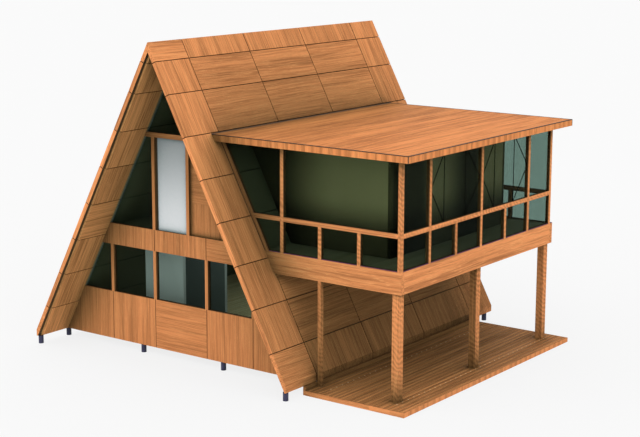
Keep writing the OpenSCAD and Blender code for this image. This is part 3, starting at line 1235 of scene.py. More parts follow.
REDDENED = {
    "light": screen_colour(231, 147, 87),
    "middle": screen_colour(206, 129, 76),
    "dark": screen_colour(167, 104, 61),
    "pale": screen_colour(241, 166, 101),
}
# Painted shade: wood colours in the yellower, greener hue of wood in shade, for the soffits.
SHADE_HUED = {
    "light": screen_colour(230, 158, 99),
    "middle": screen_colour(208, 141, 87),
    "dark": screen_colour(170, 115, 70),
}
PALE_BOARDS = {
    "light": screen_colour(228, 216, 174),
    "middle": screen_colour(214, 201, 158),
    "dark": screen_colour(190, 176, 134),
}
WINDOW_GLASS = Glass("window_glass", (0.612, 0.688, 0.658), 0.12)
PILE_PAINT = Coat("pile_paint", screen_colour(62, 62, 88), 0.12, 0.2, 0.0004, 0.5, 0.2)
TRIM_METAL = Coat("brown_trim_metal", screen_colour(74, 50, 34), 0.10, 0.3, 0.0002, 0.6)
# Painted shade: colour of the dark sheet in the gap under the roof panels' free ends.
EAVE_SHADOW_SHEET = Coat("eave_shadow_sheet", screen_colour(120, 84, 48), 0.18, 0.05, 0.0008, 0.85)
SEAL_RUBBER = Coat("seal_rubber", screen_colour(26, 26, 22), 0.10, 0.2, 0.0003, 0.85)
SASH_LINE = Coat("sash_line_rubber", screen_colour(12, 13, 10), 0.05, 0.2, 0.0002, 0.9, gloss=0.0)
# Painted shadow: colour of the strips beside the white boards.
SHADOW_GAP_STRIP = Coat("shadow_gap_paint", screen_colour(96, 72, 46), 0.06, 0.3, 0.0002, 0.8)
SCREW_STEEL = Coat("screw_steel", screen_colour(120, 112, 100), 0.08, 0.1, 0.0001, 0.4, 0.8)
# Painted highlight: pale colour of the bead that stands for the glint of a sloping glass edge.
GLASS_EDGE_HIGHLIGHT = Coat("glass_edge_highlight", screen_colour(104, 128, 130), 0.06, 0.2, 0.0002, 0.45)
MEMBRANE_EDGE = Coat("membrane_edge", screen_colour(112, 54, 92), 0.08, 0.3, 0.0003, 0.6)
PLUG_WOOD = Coat(
    "deck_plug_wood", screen_colour(240, 194, 146), 0.04, 0.05, 0.0002, 0.6, corners=0.2)


@dataclass(frozen=True)
class RoofSlopes:
    """The two panelled slopes and their grooved linings.

    Attributes:
        eave_z: Height of the slopes' outer faces at the eaves.
        first_courses: Lengths of the two top courses.
        course: Length of each lower course.
        course_count: Number of lower courses with a joint below them.
        front_strip: Width of the strip before the first bay.
        bay: Width of a bay.
        bays: Number of whole bays.
        panel_t: Thickness of the panels.
        shadow_sheet_t: Thickness of the dark sheet that paints the shade under the panels' free
            ends.
        shadow_sheet_margin: How far the sheet stays behind those ends.
    """

    eave_z: float = 0.395
    first_courses: Point2 = (0.54, 0.91)
    course: float = 1.166
    course_count: int = 6
    front_strip: float = 1.29
    bay: float = 2.5
    bays: int = 3
    panel_t: float = 0.115
    shadow_sheet_t: float = 0.004
    shadow_sheet_margin: float = 0.006

    def pitch(self) -> float:
        """Slope of the roof in radians."""
        low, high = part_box("right_roof_panels")
        return math.atan2(high.z - self.eave_z, high.x - low.x)

    def grain(self, side: int, rule: SlopeRule) -> SlopeGrain:
        """Lays out one slope's panels.

        Args:
            side: 1 for the slope towards +X, -1 for the other.
            rule: Which panels have grain down the slope.

        Returns:
            The grain of that slope.
        """
        low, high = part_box("right_roof_panels")
        ridge = (low.x, high.z)
        second = sum(self.first_courses)
        lower = [second + i * self.course for i in range(self.course_count + 1)]
        courses = (self.first_courses[0], *lower)
        strips = tuple(low.y + self.front_strip + i * self.bay for i in range(self.bays + 1))
        inside: dict[str, Any] = {}
        if rule is SlopeRule.LINING:
            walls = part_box("front_lower_panels")[0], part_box("back_lower_panels")[1]
            inside["inside_y"] = (walls[0].y, walls[1].y)
        elif rule is SlopeRule.PANELS and side > 0:
            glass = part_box("gallery_front_glass")[0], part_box("gallery_back_glass")[1]
            inside["inside_y"] = (glass[0].y, glass[1].y)
            inside["inside_z"] = (glass[0].z, glass[1].z)
            inside["shelter"] = Shelter(
                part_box("gallery_rim_side")[0].z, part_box("canopy_roof")[1].z)
        return SlopeGrain(side, ridge, self.pitch(), courses, strips, rule, **inside)

    def dress(self, shop: Shop) -> None:
        """Gives the slopes their wood."""
        bare = screen_colour(174, 158, 122)
        # Soffits: the shade hue paints shade, and the raised level paints light on them.
        soffit = {"level": 1.18, "contrast": 1.6, "corners": 0.32, **SHADE_HUED}
        for name, side in (("left", -1), ("right", 1)):
            panels = self.grain(side, SlopeRule.PANELS)
            outer = Wood(f"{name}_roof_wood", panels, level=1.04, contrast=1.15, bare=bare)
            shop.paint(outer, f"{name}_roof_panels")
            lining = self.grain(side, SlopeRule.LINING)
            shop.paint(Wood(f"{name}_lining_wood", lining, **soffit), f"{name}_roof_lining")

    def build(self, shop: Shop) -> None:
        """Adds the dark sheet that paints the shade in the gap under the panels' free ends."""
        low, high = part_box("right_roof_panels")
        lining_low, lining_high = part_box("right_roof_lining")
        pitch = self.pitch()
        shape = Shape()
        ends = (
            (low.y + self.shadow_sheet_margin, lining_low.y),
            (lining_high.y, high.y - self.shadow_sheet_margin),
        )
        corners = ((0.0, True), (0.0, False), (self.shadow_sheet_t, False), (self.shadow_sheet_t, True))
        for side in (-1, 1):
            outline = []
            for depth, top in corners:
                apex_z = high.z - (self.panel_t + depth) / math.cos(pitch)
                z = apex_z if top else low.z
                outline.append(Vector((low.x + side * (apex_z - z) / math.tan(pitch), 0.0, z)))
            for y0, y1 in ends:
                moved = [point + Vector((0, y0, 0)) for point in outline]
                shape.prism(moved, Vector((0, y1 - y0, 0)))
        # The dark sheet paints the shade in the gap between the panels and the lining.
        shop.piece("roof_vent_mesh", shape.mesh(), "pile_steel", EAVE_SHADOW_SHEET)


@dataclass(frozen=True)
class Gables:
    """The front and back walls with their windows.

    Attributes:
        centre_half: Half the width of the centre panel.
        side_panel: Width of the panels beside it.
        split_z: Joint between the two upper wood panels.
        seal_width: Width of the seal round each pane.
        seal_depth: How far the seal stands off the glass.
        highlight_width: Width of the pale bead along a sloping pane edge, which paints the glint of
            the glass edge.
        shadow_strip_width: Width of the dark strips that paint the shadow gap beside the white
            boards.
        shadow_strip_depth: How far they stand off the boards.
    """

    centre_half: float = 0.91
    side_panel: float = 1.565
    split_z: float = 4.351
    seal_width: float = 0.008
    seal_depth: float = 0.008
    highlight_width: float = 0.013
    shadow_strip_width: float = 0.06
    shadow_strip_depth: float = 0.004

    def dress(self, shop: Shop, ridge_x: float) -> None:
        """Gives the walls their wood and white boards.

        Args:
            shop: Shop that holds the nodes.
            ridge_x: Place of the ridge in X.
        """
        outer = self.centre_half + self.side_panel
        joints = tuple(ridge_x + x for x in (-outer, -self.centre_half, self.centre_half, outer))
        lower = PanelGrain(Axis.X, joints, joints[1:3])
        band = PanelGrain(Axis.X, joints[1:3], (joints[2], SKY_HIGH))
        upper = PanelGrain(Axis.Z, (self.split_z,), (self.split_z, SKY_HIGH), False)
        upright, level = StraightGrain(Axis.Z, Axis.X), StraightGrain(Axis.X, Axis.Z)
        low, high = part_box("front_white_panel")
        # Painted shade: the white boards grow darker towards their top.
        head = PaintedShade(Axis.Z, high.z + 0.3, low.z + 0.2, 0.55)
        pale = screen_colour(230, 229, 231)
        white = Coat("white_board", pale, 0.004, 0.8, 0.00002, 0.55, corners=0.8, painted_shades=(head,))
        finishes = (
            (Wood("lower_panel_wood", lower, contrast=0.8), "lower_panels"),
            (Wood("band_wood", band, level=0.91), "floor_band"),
            (Wood("upper_panel_wood", upper, level=0.86), "upper_panels"),
            (Wood("gable_post_wood", upright, level=0.93), "window_posts", "upper_posts"),
            (Wood("tie_beam_wood", level), "tie_beam"),
            (white, "white_panel"),
        )
        for finish, *rows in finishes:
            shop.paint(finish, *[f"{end}_{row}" for end in ENDS for row in rows])

    def build(self, shop: Shop) -> None:
        """Adds the seals, a pale bead that paints the glint of each sloping pane edge, and dark
        strips that paint the shadow beside the white boards.
        """
        for end, outward in zip(ENDS, (-1, 1)):
            seals, highlights = Shape(), Shape()
            normal = Vector((0, outward, 0))
            for row in ("window", "upper"):
                for outline in node_outlines(shop.nodes[f"{end}_{row}_glass"], Axis.Y, outward):
                    seals.ring(outline, normal, self.seal_width, self.seal_depth)
                    # A pale bead on each sloping edge paints the glint of the glass edge.
                    self.add_sloping_highlights(highlights, outline, normal)
            shop.piece(f"{end}_window_seals", seals.mesh(), "pile_steel", SEAL_RUBBER)
            shop.piece(f"{end}_slope_beads", highlights.mesh(), "window_glass", GLASS_EDGE_HIGHLIGHT)
            # Dark strips beside the white boards paint the shadow in the gap next to the posts.
            stops = self.board_shadow_strips(end, outward)
            shop.piece(f"{end}_board_stops", stops, "frame_wood", SHADOW_GAP_STRIP)

    def board_shadow_strips(self, end: str, outward: int) -> bpy.types.Mesh:
        """Thin dark strips that paint the shadow along the upright edges of a white board.

        Args:
            end: Name of the gable.
            outward: 1 for the gable that faces +Y, -1 for the other.

        Returns:
            The mesh.
        """
        low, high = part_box(f"{end}_white_panel")
        face = high.y if outward > 0 else low.y
        shape = Shape()
        for x0, x1 in ((low.x, low.x + self.shadow_strip_width), (high.x - self.shadow_strip_width, high.x)):
            shape.box((x0, face, low.z), (x1, face + outward * self.shadow_strip_depth, high.z))
        return shape.mesh()

    def add_sloping_highlights(self, shape: Shape, outline: Sequence[Vector], normal: Vector) -> None:
        """Adds a pale bead along each sloping edge of a pane, as a painted highlight of the glass
        edge.

        Args:
            shape: Shape to add to.
            outline: Corners of the pane's outer face.
            normal: Outward way of the pane.
        """
        outer = inset_corners(outline, normal, self.seal_width)
        inner = inset_corners(outline, normal, self.seal_width + self.highlight_width)
        for i, j in neighbours(len(outline)):
            step = outer[j] - outer[i]
            if min(abs(step.x), abs(step.z)) > self.highlight_width:
                shape.prism([outer[i], outer[j], inner[j], inner[i]], normal * self.seal_depth)


@dataclass(frozen=True)
class Gallery:
    """The glazed gallery with its flat roof, the floors and the inner walls.

    Attributes:
        line: Width of the sash lines on the side panes.
        line_depth: How far they stand off the glass.
        post_places: Places in Y of the posts beside the opening panes.
        half_post: Half the width of those posts.
        stile_shares: Places of the two stiles in a bay, as shares of its width.
        trim_cover: Width of the roof edge trim on top.
        trim_drop: Height of its outer leg.
        trim_t: Thickness of its sheet.
        membrane_h: Height of the membrane edge on the rim.
        membrane_w: Its width.
        set_back: How far the membrane lies behind the rim's face.
        seal: Width and depth of the seal round each pane.
        trim_seal: Width of the seal between the sloped trim and the roof.
        flashing: Width of each leg of the flashing between the flat roof and the slope.
        rail_turn: How far from its outer face the end rail's grain turns.
        canopy_board: Width of the flat roof's edge boards.
        floor_board: Width of the floor boards.
    """

    line: float = 0.03
    line_depth: float = 0.006
    post_places: tuple[float, float, float] = (-2.498, -0.045, 2.408)
    half_post: float = 0.05
    stile_shares: Point2 = (0.27, 0.68)
    trim_cover: float = 0.035
    trim_drop: float = 0.014
    trim_t: float = 0.003
    membrane_h: float = 0.015
    membrane_w: float = 0.03
    set_back: float = 0.004
    seal: Point2 = (0.007, 0.008)
    trim_seal: float = 0.016
    flashing: float = 0.018
    rail_turn: float = 0.2
    canopy_board: float = 0.32
    floor_board: float = 0.14

    def dress(self, shop: Shop, trim_grain: SlopeGrain) -> None:
        """Gives the gallery its wood and plaster, and the floors their boards.

        Args:
            shop: Shop that holds the nodes.
            trim_grain: Grain of the trims on the slope.
        """
        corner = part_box("gallery_rails")[1].x - self.rail_turn
        upright = StraightGrain(Axis.Z, Axis.Y)
        posts = Wood("gallery_post_wood", upright, level=0.95, streaks=16.0, figure=Figure.WAVY)
        shop.paint(posts, *[f"gallery_{kind}_posts" for kind in ("side", "end", "short")])
        rails = Wood("rail_wood", CornerGrain(corner), streaks=16.0, figure=Figure.SLANTED)
        shop.paint(rails, "gallery_rails")
        rim = {"streaks": 6.0, "contrast": 1.05, "warp": 0.12}
        shop.paint(Wood("side_rim_wood", StraightGrain(Axis.Y, Axis.Z), **rim), "gallery_rim_side")
        shop.paint(Wood("end_rim_wood", StraightGrain(Axis.X, Axis.Z), **rim), "gallery_rim_ends")
        shop.paint(Wood("slope_trim_wood", trim_grain), "gallery_trims")
        edged = EdgedGrain(self.canopy_board)
        canopy = {"streaks": 9.0, "level": 0.98, "contrast": 1.25, **REDDENED}
        shop.paint(Wood("canopy_wood", edged, **canopy), "canopy_roof")
        boards = BoardGrain(Axis.Y, Axis.X, self.floor_board)
        # Painted shade: the floors are one pale board at lowered levels, deepest on the gallery and
        # upper floors.
        dim = Wood("shaded_gallery_board_wood", boards, level=0.42, corners=0.3, **PALE_BOARDS)
        shop.paint(dim, "gallery_floor", "upper_floor")
        lit = Wood("shaded_room_board_wood", boards, level=0.68, corners=0.0, **PALE_BOARDS)
        shop.paint(lit, "ground_floor")
        self.dress_walls(shop)

    def dress_walls(self, shop: Shop) -> None:
        """Gives the room and the core their plaster, with painted shade."""
        low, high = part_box("room_end_walls")
        # Painted shade on the room's end walls: darker towards the foot and towards the slope, and
        # a dark strip at the +X corner.
        foot = PaintedShade(Axis.Z, low.z + 0.53, low.z + 1.47, 0.19)
        slope_end = PaintedShade(Axis.X, low.x + 0.95, low.x + 2.9, 0.12)
        corner_shadow_strip = PaintedShade(Axis.X, high.x - 0.085, high.x - 0.1, 0.22)
        plain = {"mottle": 0.03, "swell": 0.8, "gloss": 0.03}
        warm = Coat(
            "warm_plaster", screen_colour(200, 177, 127), corners=0.4, bounce=0.8,
            painted_shades=(foot, slope_end, corner_shadow_strip), **plain)
        shop.paint(warm, "room_end_walls")
        # Painted shade: the side wall is a darker copy of the warm plaster, darker still near the
        # corner and past the middle.
        near_corner = PaintedShade(Axis.Y, low.y + 1.4, low.y + 1.95, 0.14)
        past_middle = PaintedShade(
            Axis.Y, low.y + 3.6, low.y + 2.2, 0.12, (low.y + 4.0, low.y + 4.55))
        dim = Coat(
            "shaded_side_plaster", screen_colour(172, 153, 112), corners=0.3,
            painted_shades=(foot, near_corner, past_middle), **plain)
        shop.paint(dim, "room_side_wall")
        pale = Coat(
            "pale_plaster", screen_colour(212, 216, 213), 0.02, 0.8, corners=0.0, bounce=0.8)
        shop.paint(pale, "core_cross_walls")
        # Painted shade: the core's side walls are a darker copy of the pale plaster, darkest at
        # their front.
        front_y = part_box("core_side_walls")[0].y
        deep = PaintedShade(Axis.Y, front_y, front_y + 2.2, 0.5)
        dull = Coat(
            "shaded_core_plaster", screen_colour(126, 131, 129), 0.03, 0.8, corners=0.1, painted_shades=(deep,))
        shop.paint(dull, "core_side_walls")

    def build(self, shop: Shop) -> None:
        """Adds the sash lines, seals, roof edge trim and membrane edge."""
        shop.piece("gallery_sash_lines", self.sash_lines(), "pile_steel", SASH_LINE)
        shop.piece("canopy_edge_trim", self.edge_trim(), "pile_steel", TRIM_METAL)
        shop.piece("rim_membrane_edge", self.membrane(), "pile_steel", MEMBRANE_EDGE)
        seals = Shape()
        panes = (
            ("gallery_side_glass", Axis.X, 1, Vector((1, 0, 0))),
            ("gallery_front_glass", Axis.Y, -1, Vector((0, -1, 0))),
            ("gallery_back_glass", Axis.Y, 1, Vector((0, 1, 0))),
        )
        for name, thin, outward, normal in panes:
            for outline in node_outlines(shop.nodes[name], thin, outward):
                seals.ring(outline, normal, *self.seal)
        self.add_trim_seals(seals, shop)
        shop.piece("gallery_seals", seals.mesh(), "pile_steel", SEAL_RUBBER)

    def add_trim_seals(self, shape: Shape, shop: Shop) -> None:
        """Adds the dark seal where the sloped trims meet the roof.

        Args:
            shape: Shape to add to.
            shop: Shop that holds the trims.
        """
        depth = self.seal[1] / 2
        for outward in (-1, 1):
            end = Vector((0, outward * depth, 0))
            for outline in node_outlines(shop.nodes["gallery_trims"], Axis.Y, outward):
                if outline[0].y * outward < 0:
                    continue
                corners = sorted(outline, key=lambda c: (c.z, c.x))
                foot, head = corners[0], corners[2]
                wide = Vector((self.trim_seal, 0, 0))
                shape.prism([foot, foot + wide, head + wide, head], end)

    def sash_lines(self) -> bpy.types.Mesh:
        """Thin stiles and opening lines on the upper side panes.

        Returns:
            The mesh.
        """
        shape = Shape()
        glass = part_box("gallery_side_glass")[1]
        rail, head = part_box("gallery_rails")[1].z, glass.z
        middle = (rail + head) / 2
        for start, end in zip(self.post_places, self.post_places[1:]):
            first, second = [start + (end - start) * share for share in self.stile_shares]
            sides = ((first, start + self.half_post), (second, end - self.half_post))
            for stile, post in sides:
                foot, top, hinge = (stile, rail), (stile, head), (post, middle)
                for line in ((foot, top), (foot, hinge), (top, hinge)):
                    self.add_line(shape, glass.x, *line)
        return shape.mesh()

    def add_line(self, shape: Shape, x: float, start: Point2, end: Point2) -> None:
        """Adds one thin strip on the side glass.

        Args:
            shape: Shape to add to.
            x: Outer face of the glass.
            start: First end in Y and Z.
            end: Second end in Y and Z.
        """
        first, second = Vector((x, *start)), Vector((x, *end))
        out = Vector((1, 0, 0))
        wide = out.cross(second - first).normalized() * (self.line / 2)
        outline = [first - wide, first + wide, second + wide, second - wide]
        shape.prism(outline, out * self.line_depth)

    def edge_trim(self) -> bpy.types.Mesh:
        """Folded sheet trim on the free edges of the flat roof and flashing along the slope.

        Returns:
            The mesh.
        """
        low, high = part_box("canopy_roof")
        top, out = high.z, self.trim_t
        leg = top - self.trim_drop
        boxes = [
            ((high.x - self.trim_cover, low.y, top), (high.x + out, high.y, top + out)),
            ((high.x, low.y - out, leg), (high.x + out, high.y + out, top)),
        ]
        for y, side in ((low.y, -1), (high.y, 1)):
            edge, cover = y + side * out, y - side * self.trim_cover
            boxes += [
                ((low.x, edge, top), (high.x, cover, top + out)),
                ((low.x, edge, leg), (high.x, y, top)),
                ((high.x - self.trim_drop, edge, low.z), (high.x + out, y, top)),
                ((high.x, y - side * self.trim_drop, low.z), (high.x + out, y, top)),
            ]
        shape = Shape()
        for first, second in boxes:
            shape.box(first, second)
        roof_low, roof_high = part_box("right_roof_panels")
        up_slope = Vector((roof_low.x - low.x, 0, roof_high.z - top)).normalized() * self.flashing
        corner = Vector((low.x, low.y, top))
        outline = [corner, corner + Vector((self.flashing, 0, 0)), corner + up_slope]
        shape.prism(outline, Vector((0, high.y - low.y, 0)))
        return shape.mesh()

    def membrane(self) -> bpy.types.Mesh:
        """Edge of the waterproof sheet on top of the rim.

        Returns:
            The mesh.
        """
        ends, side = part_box("gallery_rim_ends"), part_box("gallery_rim_side")
        low_z, high_z = side[1].z, side[1].z + self.membrane_h
        x0, x1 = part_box("gallery_trims")[1].x, side[1].x - self.set_back
        y0, y1 = ends[0].y + self.set_back, ends[1].y - self.set_back
        front, back = y0 + self.membrane_w, y1 - self.membrane_w
        shape = Shape()
        shape.box((x0, y0, low_z), (x1, front, high_z))
        shape.box((x0, back, low_z), (x1, y1, high_z))
        shape.box((x1 - self.membrane_w, front, low_z), (x1, back, high_z))
        return shape.mesh()


@dataclass(frozen=True)
class Terrace:
    """The low deck and the posts on it.

    Attributes:
        board: Width of a deck board.
        gap: Gap between boards.
        board_t: Thickness of a board.
        round_edge: Radius of a board's long edges.
        edge_t: Thickness of the boards round the deck's edge.
        edge_piece: Length of one piece of the edge boards.
        screw: Radius and height of a screw head.
        plug: Radius and height of a wooden plug over a bolt.
        plug_margin: Distance of the rows of plugs from the deck's edges.
        plug_step: Distance between plugs.
        head_sides: Sides of a round head.
        joist_step: Distance between joists and so between rows of screws.
        joist_half: Half the width of a joist.
        open_y: Range in Y over which the posts come to stand free of corner shade.
        seed: Seed of the boards' tones.
    """

    board: float = 0.14
    gap: float = 0.004
    board_t: float = 0.028
    round_edge: float = 0.003
    edge_t: float = 0.03
    edge_piece: float = 0.6
    screw: Point2 = (0.005, 0.003)
    plug: Point2 = (0.02, 0.003)
    plug_margin: float = 0.48
    plug_step: float = 0.24
    head_sides: int = 10
    joist_step: float = 0.6
    joist_half: float = 0.022
    open_y: Point2 = (1.0, 3.0)
    seed: int = 7

    def dress(self, shop: Shop) -> None:
        """Gives the posts and the kerb their wood."""
        upright = StraightGrain(Axis.Z, Axis.Y, self.open_y)
        heavy = {"level": 0.93, "streaks": 12.0, "warp": 0.05, "figure": Figure.WAVY}
        posts = Wood("terrace_post_wood", upright, **heavy)
        shop.paint(posts, "terrace_posts", "terrace_slim_post")
        shop.paint(Wood("kerb_wood", StraightGrain(Axis.Y, Axis.Z)), "terrace_kerb")

    def build(self, shop: Shop) -> None:
        """Adds the deck's edge boards and joists, its boards, its screws and its plugs."""
        low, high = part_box("terrace_deck")
        length = high.y - low.y
        rows = round(length / self.joist_step)
        step = length / rows
        frame = self.frame_mesh(low, high, [low.y + i * step for i in range(1, rows)])
        edge = Wood("deck_edge_wood", EdgedGrain(self.edge_piece, True))
        shop.piece("deck_edge_boards", frame, "deck_wood", edge, ["terrace_deck"])
        shop.piece("deck_boards", self.boards_mesh(low, high), "deck_wood")
        clear = high.x - low.x - 2 * self.edge_t
        centre = Vector((low.x + high.x, low.y + high.y, 2 * high.z)) / 2
        field = (clear - self.board, step * (rows - 2))
        counts = (round(clear / self.board) * 2, rows - 1)
        screws = self.heads_mesh("deck_screws", field, counts, centre, self.screw)
        shop.piece("deck_screws", screws, "pile_steel", SCREW_STEEL)
        field = (clear - 2 * self.plug_margin, length - 2 * self.plug_margin)
        counts = (2, round(field[1] / self.plug_step))
        plugs = self.heads_mesh("deck_plugs", field, counts, centre, self.plug)
        shop.piece("deck_plugs", plugs, "deck_wood", PLUG_WOOD)

    def frame_mesh(self, low: Vector, high: Vector, joists: Sequence[float]) -> bpy.types.Mesh:
        """Puts up the edge boards and the joists between them.

        Args:
            low: Lowest corner of the deck.
            high: Highest corner of the deck.
            joists: Places of the joists in Y.

        Returns:
            The mesh.
        """
        shape = Shape()
        outline = [Vector((x, y, low.z)) for x, y in plan_corners(low, high)]
        shape.ring(outline, Vector((0, 0, 1)), self.edge_t, high.z - low.z)
        for y in joists:
            shape.box(
                (low.x + self.edge_t, y - self.joist_half, low.z),
                (high.x - self.edge_t, y + self.joist_half, high.z - self.board_t),
            )
        return shape.mesh()

    def heads_mesh(
        self, name: str, field: Point2, counts: tuple[int, int], centre: Vector, head: Point2
    ) -> bpy.types.Mesh:
        """Sets round heads in a grid by Geometry Nodes.

        Args:
            name: Name of the recipe.
            field: Size of the grid in X and Y.
            counts: Heads in X and Y.
            centre: Middle of the grid, on the deck's top.
            head: Radius and height of a head.

        Returns:
            The heads as one plain mesh.
        """
        recipe = Recipe(name, {
            "Width": field[0],
            "Length": field[1],
            "Across": counts[0],
            "Along": counts[1],
            "Radius": head[0],
            "Height": head[1],
            "Material": None,
        })
        sheet = recipe.sheet
        grid = sheet.add("GeometryNodeMeshGrid", None, {
            "Size X": recipe["Width"], "Size Y": recipe["Length"],
            "Vertices X": recipe["Across"], "Vertices Y": recipe["Along"],
        })
        round_head = sheet.add("GeometryNodeMeshCylinder", None, {
            "Vertices": self.head_sides, "Radius": recipe["Radius"], "Depth": recipe["Height"]})
        moved = sheet.add("GeometryNodeTransform", None, {
            "Geometry": sheet.out(grid, "Mesh"), "Translation": tuple(centre)})
        laid = sheet.add("GeometryNodeInstanceOnPoints", None, {
            "Points": sheet.out(moved, "Geometry"), "Instance": sheet.out(round_head, "Mesh")})
        return recipe.mesh(sheet.out(laid, "Instances"))

    def boards_mesh(self, low: Vector, high: Vector) -> bpy.types.Mesh:
        """Lays the deck boards by Geometry Nodes.

        Args:
            low: Lowest corner of the deck.
            high: Highest corner of the deck.

        Returns:
            The boards as one plain mesh.
        """
        clear = high.x - low.x - 2 * self.edge_t
        count = round(clear / (self.board + self.gap))
        pitch = (clear - self.gap) / count
        grain = AttributeGrain("tone")
        wood = Wood("deck_board_wood", grain, level=0.95, contrast=1.5, tone=0.2, corners=0.75)
        recipe = Recipe("deck_boards", {
            "Count": count,
            "Board Width": pitch - self.gap,
            "Board Thickness": self.board_t,
            "Board Length": high.y - low.y - 2 * (self.edge_t + self.gap),
            "Edge Radius": self.round_edge,
            "Pitch": pitch,
            "Material": wood.make(),
        })
        sheet = recipe.sheet
        profile = sheet.add("GeometryNodeCurvePrimitiveQuadrilateral", {"mode": "RECTANGLE"}, {
            "Width": recipe["Board Width"], "Height": recipe["Board Thickness"]})
        eased = sheet.add("GeometryNodeFilletCurve", None, {
            "Curve": sheet.out(profile, "Curve"), "Radius": recipe["Edge Radius"]})
        length = sheet.add("ShaderNodeCombineXYZ", None, {"Y": recipe["Board Length"]})
        line = sheet.add(
            "GeometryNodeCurvePrimitiveLine", None, {"End": sheet.out(length, "Vector")})
        board = sheet.add("GeometryNodeCurveToMesh", None, {
            "Curve": sheet.out(line, "Curve"),
            "Profile Curve": sheet.out(eased, "Curve"),
            "Fill Caps": True,
        })
        offset = sheet.add("ShaderNodeCombineXYZ", None, {"X": recipe["Pitch"]})
        start = (
            low.x + self.edge_t + self.gap + (pitch - self.gap) / 2,
            low.y + self.edge_t + self.gap,
            high.z - self.board_t / 2,
        )
        points = sheet.add("GeometryNodeMeshLine", None, {
            "Count": recipe["Count"],
            "Start Location": start,
            "Offset": sheet.out(offset, "Vector"),
        })
        laid = sheet.add("GeometryNodeInstanceOnPoints", None, {
            "Points": sheet.out(points, "Mesh"), "Instance": sheet.out(board, "Mesh")})
        tone = sheet.add("FunctionNodeRandomValue", {"data_type": "FLOAT"}, {"Seed": self.seed})
        marked = sheet.add(
            "GeometryNodeStoreNamedAttribute", {"data_type": "FLOAT", "domain": "INSTANCE"}, {
                "Geometry": sheet.out(laid, "Instances"),
                "Name": "tone",
                "Value": sheet.out(tone, "Value_001"),
            })
        return recipe.mesh(sheet.out(marked, "Geometry"))


SOCKET_KINDS = {int: "NodeSocketInt", float: "NodeSocketFloat"}


class Recipe:
    """A Geometry Nodes tree with named inputs that ends as a plain mesh."""

    def __init__(self, name: str, inputs: dict[str, Any]) -> None:
        """Starts the tree.

        Args:
            name: Name of the tree.
            inputs: Value of each named input: a number, or a material or None.
        """
        self.tree = bpy.data.node_groups.new(name, "GeometryNodeTree")
        self.sheet = Sheet(self.tree)
        self.values: dict[str, Any] = {}
        face = self.tree.interface
        for label, value in inputs.items():
            kind = SOCKET_KINDS.get(type(value), "NodeSocketMaterial")
            socket = face.new_socket(label, in_out="INPUT", socket_type=kind)
            self.values[socket.identifier] = value
        face.new_socket("Geometry", in_out="OUTPUT", socket_type="NodeSocketGeometry")
        self.entry = self.sheet.add("NodeGroupInput")

    def __getitem__(self, label: str) -> Val:
        """The named input."""
        return Val(self.sheet, self.entry.outputs[label])

    def mesh(self, geometry: Val) -> bpy.types.Mesh:
        """Realizes the geometry, gives it the recipe's material and evaluates it.

        Args:
            geometry: What the tree has made.

        Returns:
            The plain mesh.
        """
        real = self.sheet.add("GeometryNodeRealizeInstances", None, {"Geometry": geometry})
        dressed = self.sheet.add("GeometryNodeSetMaterial", None, {
            "Geometry": self.sheet.out(real, "Geometry"), "Material": self["Material"]})
        self.sheet.add("NodeGroupOutput", None, {"Geometry": self.sheet.out(dressed, "Geometry")})
        holder = bpy.data.objects.new("holder", bpy.data.meshes.new("holder"))
        bpy.context.scene.collection.objects.link(holder)
        modifier = holder.modifiers.new("recipe", "NODES")
        modifier.node_group = self.tree
        for identifier, value in self.values.items():
            modifier[identifier] = value
        evaluated = holder.evaluated_get(bpy.context.evaluated_depsgraph_get())
        mesh = bpy.data.meshes.new_from_object(evaluated)
        holder.modifiers.remove(modifier)
        bpy.data.objects.remove(holder)
        return mesh


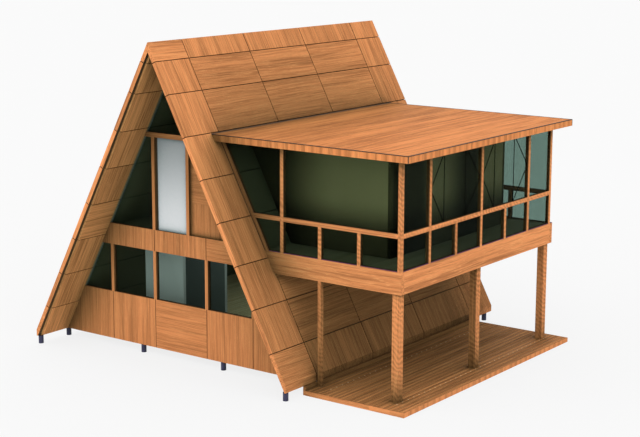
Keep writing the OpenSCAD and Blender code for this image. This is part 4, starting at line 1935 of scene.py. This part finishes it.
@dataclass(frozen=True)
class Studio:
    """Pale floor, soft light and the camera.

    Attributes:
        place: Place of the camera.
        look: Way it looks.
        roll: Turn of the camera about that way, in degrees.
        lens: Focal length in millimetres on a 36 mm wide sensor.
        sensor: Width of the sensor in millimetres.
        far: How far the camera sees.
        key: Way towards the brightest part of the sky.
        key_edge: Cosine of the angle from that way at which its extra light ends.
        sky: Light from all round.
        glow: Extra light from the key's way.
        floor_white: Level of the floor's own white, as the camera sees it.
        floor_glow: Share of that white in the floor; the rest takes the shadow.
        floor_grey: Grey of the part that takes the shadow.
        floor_bounce: How much light the floor gives back to the object.
        white: Level of the pale background.
        floor_size: Half the width of the floor.
        room_light: Width and length of the light in the ground-floor room.
        room_power: Its power in watts.
        room_gap: Its distance from the ceiling.
    """

    place: Point3 = (25.182, -33.8194, 11.9177)
    look: Point3 = (-0.58207, 0.78905, -0.19646)
    roll: float = 0.1635
    lens: float = 86.902
    sensor: float = 36.0
    far: float = 2000.0
    key: Point3 = (0.35, -0.80, 0.30)
    key_edge: float = -0.35
    sky: float = 0.82
    glow: float = 0.67
    floor_white: float = 0.95
    floor_glow: float = 0.86
    floor_grey: float = 0.9
    floor_bounce: float = 0.9
    white: float = 0.965
    floor_size: float = 400.0
    room_light: Point2 = (4.0, 6.5)
    room_power: float = 80.0
    room_gap: float = 0.02

    def build(self) -> None:
        """Makes the camera, the light and the floor."""
        self.add_camera()
        self.add_world()
        self.add_floor()
        self.add_room_light()
        bpy.context.scene.view_settings.view_transform = "Standard"

    def add_camera(self) -> None:
        """Puts the camera at the photograph's viewpoint."""
        data = bpy.data.cameras.new("camera")
        data.sensor_width = self.sensor
        data.lens = self.lens
        data.clip_end = self.far
        camera = bpy.data.objects.new("camera", data)
        camera.location = self.place
        level = Vector(self.look).to_track_quat("-Z", "Y")
        turn = Quaternion((0.0, 0.0, 1.0), math.radians(self.roll))
        camera.rotation_euler = (level @ turn).to_euler()
        bpy.context.scene.collection.objects.link(camera)
        bpy.context.scene.camera = camera

    def add_world(self) -> None:
        """Lights the scene with a soft sky that is brightest towards the key."""
        world = bpy.data.worlds.new("studio")
        world.use_nodes = True
        bpy.context.scene.world = world
        sheet = Sheet(world.node_tree)
        way = sheet.out(sheet.add("ShaderNodeTexCoord"), "Generated")
        key = Vector(self.key).normalized()
        toward = sheet.add("ShaderNodeVectorMath", {"operation": "DOT_PRODUCT"}, {
            "Vector": way, "Vector_001": tuple(key)})
        above = sheet.split(way)[2] > 0.0
        glow = sheet.out(toward, "Value").fade(self.key_edge, 1.0) * self.glow
        light = sheet.plain("ShaderNodeBackground", WHITE, Strength=(glow + self.sky) * above)
        plain = sheet.plain("ShaderNodeBackground", WHITE, Strength=self.white)
        mix = sheet.mix(sheet.rays(*SEEN_RAYS), light, plain)
        sheet.add("ShaderNodeOutputWorld", None, {"Surface": mix})

    def add_room_light(self) -> None:
        """Hangs a soft light under the ceiling of the ground floor."""
        low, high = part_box("ground_floor")
        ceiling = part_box("upper_floor")[0].z
        data = bpy.data.lights.new("room_light", "AREA")
        data.shape = "RECTANGLE"
        data.size, data.size_y = self.room_light
        data.energy = self.room_power
        light = bpy.data.objects.new("room_light", data)
        middle = (low + high) / 2
        light.location = (middle.x, middle.y, ceiling - self.room_gap)
        light.visible_camera = False
        bpy.context.scene.collection.objects.link(light)

    def add_floor(self) -> None:
        """Lays a pale floor that keeps the object's shadow."""
        shape = Shape()
        half = self.floor_size
        shape.face([(x, y, 0.0) for x, y in plan_corners((-half, -half), (half, half))])
        floor = bpy.data.objects.new("floor", shape.mesh())
        bpy.context.scene.collection.objects.link(floor)
        sheet, material = Sheet.for_material("pale_floor")
        shadowed = sheet.plain("ShaderNodeBsdfDiffuse", (self.floor_grey,) * 3)
        own = sheet.plain("ShaderNodeEmission", WHITE, Strength=self.floor_white)
        seen = sheet.mix(self.floor_glow, shadowed, own)
        dull = sheet.plain("ShaderNodeBsdfDiffuse", (self.floor_bounce,) * 3)
        sheet.show(sheet.mix(sheet.rays(*SEEN_RAYS), dull, seen))
        floor.data.materials.append(material)
        floor.visible_shadow = False


def main() -> None:
    """Builds and dresses every sub-assembly."""
    logging.basicConfig(level=logging.INFO, format="%(message)s")
    for item in list(bpy.data.objects):
        bpy.data.objects.remove(item)
    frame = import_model()
    shop = Shop(frame)
    Studio().build()
    roof = RoofSlopes()
    roof.dress(shop)
    roof.build(shop)
    ridge_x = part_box("right_roof_panels")[0].x
    gables = Gables()
    gables.dress(shop, ridge_x)
    gables.build(shop)
    gallery = Gallery()
    gallery.dress(shop, roof.grain(1, SlopeRule.TRIM))
    gallery.build(shop)
    terrace = Terrace()
    terrace.dress(shop)
    terrace.build(shop)
    shop.paint(WINDOW_GLASS, *[name for name in shop.nodes if name.endswith("_glass")])
    shop.paint(PILE_PAINT, "ground_piles")


if __name__ == "__main__":
    main()
